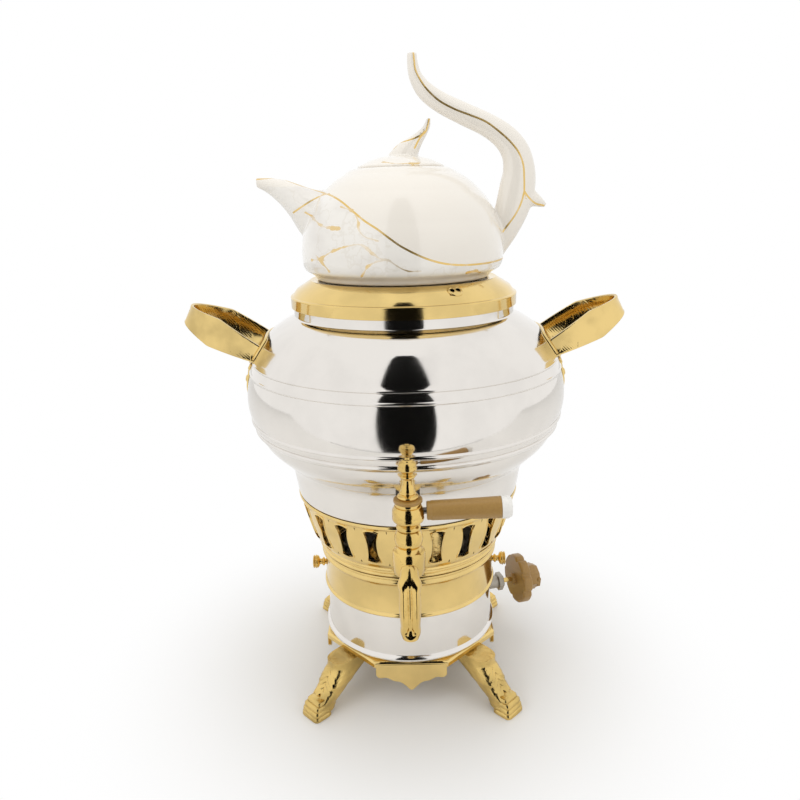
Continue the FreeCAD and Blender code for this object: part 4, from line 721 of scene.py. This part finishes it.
def loop_skin(sign):
    """The bent strip: most of an oval loop, taller in the middle, with a raised border."""
    section = [(0.0, -0.94), (0.1, -1.0), (0.9, -1.0), (1.0, -0.94), (1.0, -0.82), (0.9, -0.76),
               (0.9, 0.76), (1.0, 0.82), (1.0, 0.94), (0.9, 1.0), (0.1, 1.0), (0.0, 0.94)]
    rings = []
    for turn in np.linspace(-loop_ends, loop_ends, 97):
        way = np.array((math.cos(turn), math.sin(turn)))
        outer, inner = way * (loop_reach, loop_half), way * (loop_reach - strip, loop_half - strip)
        half_high = np.interp(outer[0], [-14.0, 34.1, loop_reach], [6.0, 12.0, 7.6])
        ring = []
        for share, lift in section:
            out, side = inner + share * (outer - inner)
            up = lift * half_high
            ring.append((sign * (root_out + out * math.cos(rise) - up * math.sin(rise)), side,
                         root_high + out * math.sin(rise) + up * math.cos(rise)))
        rings.append(ring)
    return loft(rings)


def bracket_skin(sign):
    """The pressed bracket: a cross-piece over a tongue, drawn on the belly with rounded edges."""
    half = smooth_rows([(0.6, 256.2), (4.6, 258.6), (8.0, 265.0), (9.0, 275.0), (10.6, 283.0),
                        (18.0, 287.4), (27.0, 289.6), (33.0, 295.0), (33.0, 303.0), (28.0, 308.8),
                        (14.0, 310.4), (0.6, 310.8)], 60)
    outline = np.array([(a, b) for a, b in half] + [(-a, b) for a, b in half[::-1]])
    centre = np.array((0.0, 297.0))
    rings = []
    for share, lift in ((0.04, 0.15), (0.5, 0.15), (0.985, 0.15), (1.0, 0.5), (1.0, 1.8), (0.985, 2.2),
                        (0.93, 2.3), (0.7, 2.3), (0.4, 2.3), (0.04, 2.3)):
        rings.append([(sign * math.sqrt((belly_radius(height) + lift) ** 2 - side ** 2), side, height)
                      for side, height in centre + share * (outline - centre)])
    return loft(rings)


stud = [(0, 0.5), (3.6, 0.5), (3.6, 2.8, 0.1), (3.0, 3.5, 0.3), (1.6, 4.2, 0.15), (0, 4.3)]
studs = []
for side, sign in (("left", -1), ("right", 1)):
    build(side + "_handle_loop", [loop_skin(sign)], engraved, [side + "_handle_grip"])
    build(side + "_bracket_plate", [bracket_skin(sign)], gold, [side + "_handle_bracket"])
    for height in stud_heights:
        slope = 0.5 * (belly_radius(height + 1) - belly_radius(height - 1))
        studs.append(aimed(spun(stud, 0.2, 40, closed=False), (sign * belly_radius(height), 0, height),
                           Vector((sign, 0, -slope)).normalized()))
build("bracket_studs", studs, gold, ["handle_rivets"])

# Cover: gold-plated sheet, spun to a cone with a rolled skirt. It rests on the tank's collar, has
# a mouth for the steam, and a small boss with two pierced holes on its slope.


def cut(made, cutters):
    """Takes other closed shapes out of a piece."""
    for verts, faces in cutters:
        mesh = bpy.data.meshes.new("cutter")
        mesh.from_pydata([tuple(v) for v in np.array(verts) * MM], [], faces)
        tool = bpy.data.objects.new("cutter", mesh)
        bpy.context.scene.collection.objects.link(tool)
        change = made.modifiers.new("cut", "BOOLEAN")
        change.operation = "DIFFERENCE"
        change.solver = "EXACT"
        change.object = tool
        settle(made)
        bpy.data.objects.remove(tool)


cover = [(88.8, 331.0), (90.4, 331.0), (90.4, 338.2, 0.9), (89.0, 340.4), (85.4, 345.2),
         (75.2, 351.4, 0.4), (73.0, 352.0), (58.0, 352.0), (58.0, 350.4), (72.6, 350.4), (84.4, 343.8),
         (88.6, 338.2), (88.8, 335.4)]
spun_cover = build("spun_cover", [spun(cover, 0.5, 208)], gold, ["top_cover"], "cover")
boss_turn, boss_out, boss_high, hole_apart = math.radians(27.0 - 90.0), 80.3, 348.4, 2.4
outwards = Vector((math.cos(boss_turn), math.sin(boss_turn), 0))
boss_way = (outwards * 0.52 + Vector((0, 0, 0.854))).normalized()
boss_spot = outwards * boss_out + Vector((0, 0, boss_high))
button = spun([(0, -0.6), (5.4, -0.6), (5.9, 0.0, 0.2), (5.2, 0.7), (4.4, 0.9), (0, 0.9)], 0.3, 56,
              closed=False)
vent_boss = build("vent_boss", [aimed(button, boss_spot, boss_way)], gold, body="cover")
drill = spun([(0, -5.0), (1.6, -5.0), (1.9, 2.5), (0, 2.5)], 0.1, 24, closed=False)
beside = Vector((-outwards.y, outwards.x, 0))
holes = [aimed(drill, boss_spot + beside * offset, boss_way) for offset in (-hole_apart, hole_apart)]
cut(vent_boss, holes)
cut(spun_cover, holes)

# Teapot: slip-cast porcelain, glazed ivory, with its spout and horned handle cast on. Gilt lines
# are painted over the glaze, and a printed marble with gold veins fills the part below the swoosh.


def blended(made, grain, softened):
    """One closed skin over all of a piece's parts, with softened joins."""
    skin = made.modifiers.new("skin", "REMESH")
    skin.mode = "VOXEL"
    skin.voxel_size = grain * MM
    skin.use_smooth_shade = True
    soft = made.modifiers.new("soft", "SMOOTH")
    soft.factor = 0.5
    soft.iterations = softened
    settle(made)


def set_field(made, label, numbers):
    field = made.data.attributes.new(label, "FLOAT", "POINT")
    field.data.foreach_set("value", np.array(numbers, np.float32))


def paint_strokes(made, label, strokes):
    """Two fields on a piece: how far to the side of the nearest stroke, and how far away it is."""
    faces = [tuple(p.vertices) for p in made.data.polygons]
    tree = BVHTree.FromPolygons([v.co for v in made.data.vertices], faces)
    spots, ways = [], []
    for stroke in strokes:
        found = []
        for x, z in smooth_rows(stroke, 12 * len(stroke)):
            hit = tree.ray_cast(Vector((x, -200.0, z)) * MM, Vector((0, 1, 0)))
            if hit[0] is not None:
                found.append(np.array(hit[0]) / MM)
        for i, spot in enumerate(found):
            way = found[min(i + 1, len(found) - 1)] - found[max(i - 1, 0)]
            spots.append(spot)
            ways.append(way / max(np.linalg.norm(way), 1e-6))
    near = KDTree(len(spots))
    for i, spot in enumerate(spots):
        near.insert(spot, i)
    near.balance()
    beside, away = [], []
    for vertex in made.data.vertices:
        mirror = (1, -1, 1) if vertex.co.y > 0 else (1, 1, 1)
        point, normal = np.array(vertex.co) / MM * mirror, np.array(vertex.normal) * mirror
        spot, i, distance = near.find(point)
        across = np.cross(ways[i], normal)
        beside.append(float(np.dot(point - spot, across) / max(np.linalg.norm(across), 1e-6)))
        away.append(distance)
    set_field(made, label, beside)
    set_field(made, label + "_away", away)


def porcelain(name, below_line):
    """Ivory glaze with gilt strokes, gold veins and painted shade lines, and a marble print, below a line
    where there is one.
    """
    finish = Finish(name, "white_porcelain", Coat_Roughness=0.04, Specular_IOR_Level=0.5)
    glaze = finish.mix(finish.noise(18.0, 3.0), (0.89, 0.845, 0.775), (0.85, 0.80, 0.725))
    cloud = finish.noise(24.0, 5.0, at=finish.stretched(1.0, 1.0, 1.8))
    marble = finish.mix(cloud.step(0.42, 0.70), (0.88, 0.85, 0.80), (0.78, 0.745, 0.70))
    fine = (finish.noise(30.0, 4.0, roughness=0.6) - 0.5).size()
    marble = finish.mix(0.25 * (1 - fine.step(0.0, 0.02)), marble, (0.66, 0.60, 0.50))
    region = finish.read("below").step(0.0, 1.5) if below_line else cloud.step(0.55, 0.75)
    worn = finish.noise(140.0, 3.0).step(0.30, 0.55)
    stroke = (1 - finish.read("line").size().step(0.55, 0.85)) * (1 - finish.read("line_away").step(1.6, 2.6))
    width = 0.35 + 1.5 * finish.noise(110.0, 3.0).step(0.40, 0.75)
    # The vein paint carries the marble's gold veins and, on the lid, painted shade: a thin gold line where
    # the lid meets the pot.
    vein_and_shade_line = 1 - (finish.read("vein_and_shade_line").size() - width).step(-0.25, 0.25)
    vein_and_shade_line = vein_and_shade_line * (1 - finish.read("vein_and_shade_line_away").step(2.2, 3.4))
    vein_and_shade_line = vein_and_shade_line * (0.35 + 0.65 * finish.noise(55.0, 2.0).step(0.38, 0.55))
    gilt = (stroke * (0.75 + 0.25 * worn)).larger(vein_and_shade_line * 0.8)
    colour = finish.mix(gilt, finish.mix(region, glaze, marble), (0.80, 0.55, 0.18))
    finish.drive(Base_Color=colour, Metallic=gilt * 0.9, Coat_Weight=0.8 - 0.7 * gilt,
                 Roughness=0.16 + 0.06 * finish.noise(50.0) + 0.1 * gilt)
    finish.bump(finish.noise(22.0, 2.0), 0.0003, 0.35)
    return finish


def upright_ovals(stations, count, around=56):
    """A skin of upright ovals along (x, height, half high, half wide)."""
    turns = [2 * math.pi * k / around for k in range(around)]
    return loft([[(x, wide * math.cos(turn), z + high * math.sin(turn)) for turn in turns]
                 for x, z, high, wide in smooth_rows(stations, count)])


def bent_ovals(stations, count, around=48):
    """A skin of ovals square to a path in the teapot's own plane, as (x, height, half high, half wide)."""
    rows = smooth_rows(stations, count)
    turns = [2 * math.pi * k / around for k in range(around)]
    rings = []
    for i, (x, z, high, wide) in enumerate(rows):
        before, after = rows[max(i - 1, 0)], rows[min(i + 1, len(rows) - 1)]
        way_x, way_z = (after - before)[:2] / np.hypot(*(after - before)[:2]) * high
        rings.append([(x + way_z * math.sin(turn), wide * math.cos(turn), z - way_x * math.sin(turn))
                      for turn in turns])
    return loft(rings)


dome = [(0, 352.2), (69.0, 352.2), (69.4, 354.6), (71.0, 356.2), (77.0, 359.6, 0.9), (79.5, 369.0, 1.6),
        (75.0, 396.0, 1.6), (61.0, 418.0, 1.2), (44.0, 431.0, 0.7), (35.5, 435.1), (0, 435.1)]
spout = [(-40.0, 394.0, 22.0, 26.0), (-47.7, 395.0, 25.0, 24.0), (-67.6, 397.0, 24.0, 23.0),
         (-80.0, 406.5, 18.9, 18.0), (-88.0, 414.5, 13.4, 13.0), (-96.0, 420.3, 9.2, 9.0),
         (-104.5, 424.6, 5.8, 5.6), (-112.6, 427.0, 3.6, 3.4)]
horn = [(72.0, 370.0, 8.5, 6.0), (75.0, 376.0, 9.5, 6.4), (81.5, 389.0, 11.5, 6.8), (87.0, 404.0, 13.5, 7.2),
        (90.5, 419.0, 14.0, 7.4), (91.5, 432.0, 12.5, 7.4), (88.3, 445.0, 11.0, 7.2), (80.0, 455.8, 9.6, 7.1),
        (67.0, 464.6, 8.6, 7.0), (49.0, 473.0, 8.2, 6.8), (32.0, 481.2, 7.6, 6.4), (20.0, 489.6, 6.8, 5.8),
        (13.0, 499.0, 5.3, 4.9), (10.5, 508.0, 4.3, 4.2), (10.0, 516.4, 3.7, 3.6)]
thorn = [(84.0, 416.0, 9.0, 6.0), (90.0, 413.0, 10.0, 6.2), (100.0, 410.8, 7.2, 4.8),
         (107.5, 407.6, 4.2, 3.4), (113.0, 404.8, 1.7, 1.5)]
pot = build("porcelain_pot", [spun(dome, 0.8, 160, closed=False), upright_ovals(spout, 40),
                              bent_ovals(horn, 110), bent_ovals(thorn, 24)],
            porcelain("gilt_porcelain", True), ["teapot_body"], "teapot")
blended(pot, 1.1, 5)
cavity = [(0, 358.5), (64.0, 358.5), (72.5, 361.5, 0.9), (76.0, 369.5, 1.5), (71.6, 394.5, 1.5),
          (58.0, 415.2, 1.1), (41.0, 427.6, 0.6), (28.0, 431.8), (28.0, 437.0), (0, 437.0)]
bore = [(-56.0, 398.0, 12.0, 12.0), (-68.0, 399.5, 13.0, 13.0), (-80.0, 407.0, 11.5, 11.5),
        (-88.0, 414.8, 8.0, 8.0), (-96.0, 420.4, 5.2, 5.2), (-104.5, 424.6, 3.0, 3.0),
        (-114.5, 427.6, 1.8, 1.8)]
foot_recess = [(0, 351.0), (63.0, 351.0), (61.5, 354.4), (0, 355.2)]
cut(pot, [spun(cavity, 0.4, 120, closed=False), upright_ovals(bore, 30, 32),
          spun(foot_recess, 0.3, 120, closed=False)])
paint_strokes(pot, "line", [
    [(-111.0, 429.4), (-105.4, 429.6), (-94.0, 429.4), (-78.3, 424.0), (-66.9, 420.2), (-57.5, 417.5),
     (-50.2, 415.2), (-42.0, 410.6), (-32.7, 403.3), (-25.6, 397.7), (-16.9, 392.2), (-10.1, 387.1),
     (-1.7, 381.1), (8.5, 375.5), (18.9, 370.9), (29.5, 367.8), (40.4, 366.2), (51.8, 365.6),
     (64.2, 365.6), (73.0, 365.9), (78.4, 366.2)],
    [(-82.2, 404.4), (-75.2, 408.5), (-67.6, 412.9), (-60.8, 415.9), (-53.5, 417.0)],
    [(11.2, 515.0), (11.7, 509.4), (12.5, 503.8), (16.6, 495.9), (22.1, 488.8), (30.4, 481.7),
     (41.6, 475.8), (52.8, 471.5), (64.1, 466.9), (73.5, 460.5), (83.1, 452.3), (89.9, 444.1),
     (93.6, 435.0), (94.6, 424.0), (94.9, 415.7)],
    [(94.9, 415.7), (92.8, 407.4), (88.2, 398.1), (79.7, 386.9)],
    [(94.9, 415.7), (98.8, 411.0), (104.2, 406.6), (110.0, 405.0)]])
paint_strokes(pot, "vein_and_shade_line", [
    [(-71.4, 403.0), (-65.4, 399.5), (-58.6, 394.9), (-51.5, 393.3), (-45.7, 392.8)],
    [(-41.9, 407.2), (-34.5, 404.5), (-30.9, 398.6), (-30.1, 392.0), (-25.8, 387.3), (-18.8, 385.2)],
    [(-66.9, 370.1), (-60.2, 371.5), (-49.9, 377.3), (-38.5, 381.0), (-28.6, 381.9), (-20.8, 376.0),
     (-15.7, 372.6), (-9.7, 371.2), (-2.0, 366.1), (4.0, 363.7), (10.1, 363.5)],
    [(-11.4, 371.7), (-19.3, 370.0), (-24.7, 366.6), (-28.5, 361.2)],
    [(-62.3, 372.3), (-57.4, 367.3), (-54.6, 364.2)],
    [(47.2, 360.2), (52.1, 360.6), (56.3, 359.1)]])
swoosh = np.array([(-80, 424), (-58, 417), (-42.9, 413), (-32, 408.1), (-24, 402.6), (-17.2, 396.9),
                   (-11.5, 391.1), (-6.2, 386.1), (-1.2, 381.6), (3.7, 377.8), (8.7, 374.5), (13.8, 371.9),
                   (19, 369.9), (24.6, 368.1), (30.7, 366.5), (37.3, 365.9), (90, 365.9)])
handle_start = 80.0
under = []
for vertex in pot.data.vertices:
    x, y, z = np.array(vertex.co) / MM
    edge = np.interp(math.degrees(math.atan2(x, abs(y))), swoosh[:, 0], swoosh[:, 1])
    under.append(edge - z if x < handle_start else 0.0)
set_field(pot, "below", under)

# Teapot lid: cast in the same porcelain. A register under its rim keeps it in the neck, and a
# flame-shaped finger knob rises from its crown with two gilt strokes.
lid_line = [(0, 432.8), (23.0, 432.8), (27.4, 434.6), (33.6, 434.6), (34.0, 435.6), (33.2, 436.8),
            (25.0, 440.6, 0.4), (12.0, 443.9, 0.2), (0, 444.5)]
flame = [(-0.5, 441.0, 9.5, 12.5), (1.0, 443.0, 9.2, 12.0), (3.6, 447.5, 7.9, 11.0), (8.0, 453.0, 5.9, 9.0),
         (15.0, 459.0, 3.8, 5.4), (20.0, 464.5, 2.5, 3.0), (22.0, 470.6, 1.5, 1.5)]
turns = [2 * math.pi * k / 48 for k in range(48)]
flat_rings = [[(x + wide * math.cos(turn), deep * math.sin(turn), z) for turn in turns]
              for x, z, deep, wide in smooth_rows(flame, 48)]
lid = build("porcelain_lid", [spun(lid_line, 0.4, 140, closed=False), loft(flat_rings)],
            porcelain("lid_porcelain", False), ["teapot_lid"], "lid")
blended(lid, 0.8, 4)
paint_strokes(lid, "line", [
    [(-4.1, 450.1), (-0.2, 453.3), (7.5, 455.3), (14.2, 457.6), (19.0, 460.3), (21.0, 464.8),
     (22.0, 468.9)],
    [(18.0, 460.3), (14.1, 455.0), (11.6, 450.5)]])
# Painted shade: a thin gold line along the lid's lower edge, just above where it sits on the pot.
paint_strokes(lid, "vein_and_shade_line", [[(-11.6, 438.4), (-4.2, 437.0), (3.0, 436.9), (12.0, 437.2)]])

# Inner parts: the burner and its gas line, the nuts, screws and rubber ring. They are turned,
# pressed or moulded stock parts, mostly hidden behind the drum, the band and the tank.


def dress(finish, *names):
    """Puts a finish on CAD nodes that are shown as they are."""
    for name in names:
        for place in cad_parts[name].material_slots:
            place.link = "OBJECT"
            place.material = finish.material


dress(steel, "tank_bottom")
dress(brass, "tap_lock_nut", "thumbscrew_nuts", "burner_cap", "gas_jet", "valve_stem")
dress(screw_steel, "leg_screws")
sheet_steel = plated("burner_steel", "burner_steel", (0.46, 0.45, 0.43), 0.32, grain=0.0002, scale=300.0,
                     dull=0.7)
dress(sheet_steel, "burner_tray", "burner_posts")
alloy = plated("cast_alloy", "burner_alloy", (0.55, 0.54, 0.52), 0.38, grain=0.0004, scale=420.0, dull=0.8)
dress(alloy, "burner_bowl", "mixing_tube", "gas_pipe", "jet_tube")
rubber = Finish("seal_rubber", "seal_rubber", Coat_Roughness=0.5)
rubber.drive(Base_Color=rubber.mix(rubber.noise(300.0, 3.0), (0.035, 0.033, 0.03), (0.07, 0.065, 0.06)),
             Roughness=0.6 + 0.2 * rubber.noise(500.0))
rubber.bump(rubber.noise(900.0), 0.0001)
dress(rubber, "tap_gasket")

# Studio: a pale table that fades into a white room, with soft light from the left, the right and
# above. A dark card round the camera and the table's dark edge show only as reflections.
world = bpy.data.worlds.new("white_room")
bpy.context.scene.world = world
world.use_nodes = True
world.node_tree.nodes.clear()
air = Nodes(world.node_tree)
camera_ray, glossy_ray, clear_ray = [air.node("ShaderNodeLightPath", out="Is %s Ray" % kind)
                                     for kind in ("Camera", "Glossy", "Transmission")]
lighting, white_wall = [air.node("ShaderNodeBackground", {}, {"Color": colour})
                        for colour in ((0.80, 0.795, 0.78, 1), (1, 1, 1, 1))]
seen = camera_ray.larger(glossy_ray).larger(clear_ray)
room = air.node("ShaderNodeMixShader", {}, (seen, lighting, white_wall))
way_out = world.node_tree.nodes.new("ShaderNodeOutputWorld")
world.node_tree.links.new(room.socket, way_out.inputs["Surface"])


def flat_piece(name, corners, finish):
    """A flat card or table top that isn't part of the object."""
    mesh = bpy.data.meshes.new(name)
    mesh.from_pydata(corners, [], [tuple(range(len(corners)))])
    mesh.materials.append(finish.material)
    made = bpy.data.objects.new(name, mesh)
    bpy.context.scene.collection.objects.link(made)
    return made


table_top = Finish("pale_table")
spot = table_top.node("ShaderNodeVectorMath", {"operation": "LENGTH"}, {0: table_top.at()}, out=1)
table_top.drive(Base_Color=table_top.mix(table_top.noise(3.0), (0.90, 0.90, 0.90), (0.92, 0.92, 0.92)),
                Roughness=0.55 + 0.05 * table_top.noise(9.0))
faded = spot.step(0.10, 0.30) * table_top.node("ShaderNodeLightPath", out="Is Camera Ray")
bright = table_top.node("ShaderNodeEmission", {}, {"Color": (1, 1, 1, 1), "Strength": 1.0})
surface = Sock(table_top, table_top.shader.outputs[0])
whole = table_top.node("ShaderNodeMixShader", {}, (faded, surface, bright))
table_top.tree.links.new(whole.socket, table_top.tree.nodes["Material Output"].inputs["Surface"])
table_front, table_back, table_side = -0.33, 3.0, 3.0
flat_piece("table", [(-table_side, table_front, 0), (table_side, table_front, 0),
                     (table_side, table_back, 0), (-table_side, table_back, 0)], table_top)
dark = Finish("dark_card", Specular_IOR_Level=0.0)
dark.drive(Base_Color=dark.mix(dark.noise(4.0), (0.004, 0.004, 0.004), (0.008, 0.008, 0.008)),
           Roughness=0.8 + 0.1 * dark.noise(6.0))
for name, half, low, low_y, high, high_y in (("camera_card", 0.20, -0.60, -0.62, 3.0, -0.62),
                                             ("table_edge", 0.40, -0.035, -0.345, 0.0, -0.335)):
    card = flat_piece(name, [(-half, low_y, low), (half, low_y, low), (half, high_y, high),
                             (-half, high_y, high)], dark)
    card.visible_camera = card.visible_diffuse = card.visible_shadow = False
for name, spot, size, power, aim in (("left_light", (-1.1, -0.9, 1.3), 0.9, 4.0, (0, 0, 0.25)),
                                     ("right_light", (1.2, -0.6, 1.1), 0.9, 2.0, (0, 0, 0.25)),
                                     ("top_light", (0, 0.1, 1.8), 1.2, 5.0, (0, 0, 0.2))):
    lamp = bpy.data.lights.new(name, "AREA")
    lamp.shape = "SQUARE"
    lamp.size = size
    lamp.energy = power
    made = bpy.data.objects.new(name, lamp)
    made.location = spot
    made.rotation_euler = (Vector(aim) - Vector(spot)).to_track_quat("-Z", "Y").to_euler()
    made.visible_glossy = False
    bpy.context.scene.collection.objects.link(made)

# Camera: a 31.5 mm lens on a 36 mm sensor, a little over half a metre in front of the samovar and
# level with the teapot's shoulder. It is tipped down by sixteen degrees.
bpy.context.scene.view_settings.view_transform = "Standard"
lens = bpy.data.cameras.new("camera")
lens.lens, lens.sensor_width = 31.5, 36.0
camera = bpy.data.objects.new("camera", lens)
bpy.context.scene.collection.objects.link(camera)
bpy.context.scene.camera = camera
yaw, pitch, roll = math.radians(-0.487), math.radians(15.89), math.radians(-1.358)
ahead = Vector((math.sin(yaw) * math.cos(pitch), math.cos(yaw) * math.cos(pitch), -math.sin(pitch)))
right = Vector((math.cos(yaw), -math.sin(yaw), 0))
upward = right.cross(ahead)
turned_right = math.cos(roll) * right + math.sin(roll) * upward
turned_up = math.cos(roll) * upward - math.sin(roll) * right
stand = Matrix((turned_right, turned_up, -ahead)).transposed().to_4x4()
stand.translation = Vector((0, -0.5706, 0.4109))
camera.matrix_world = stand
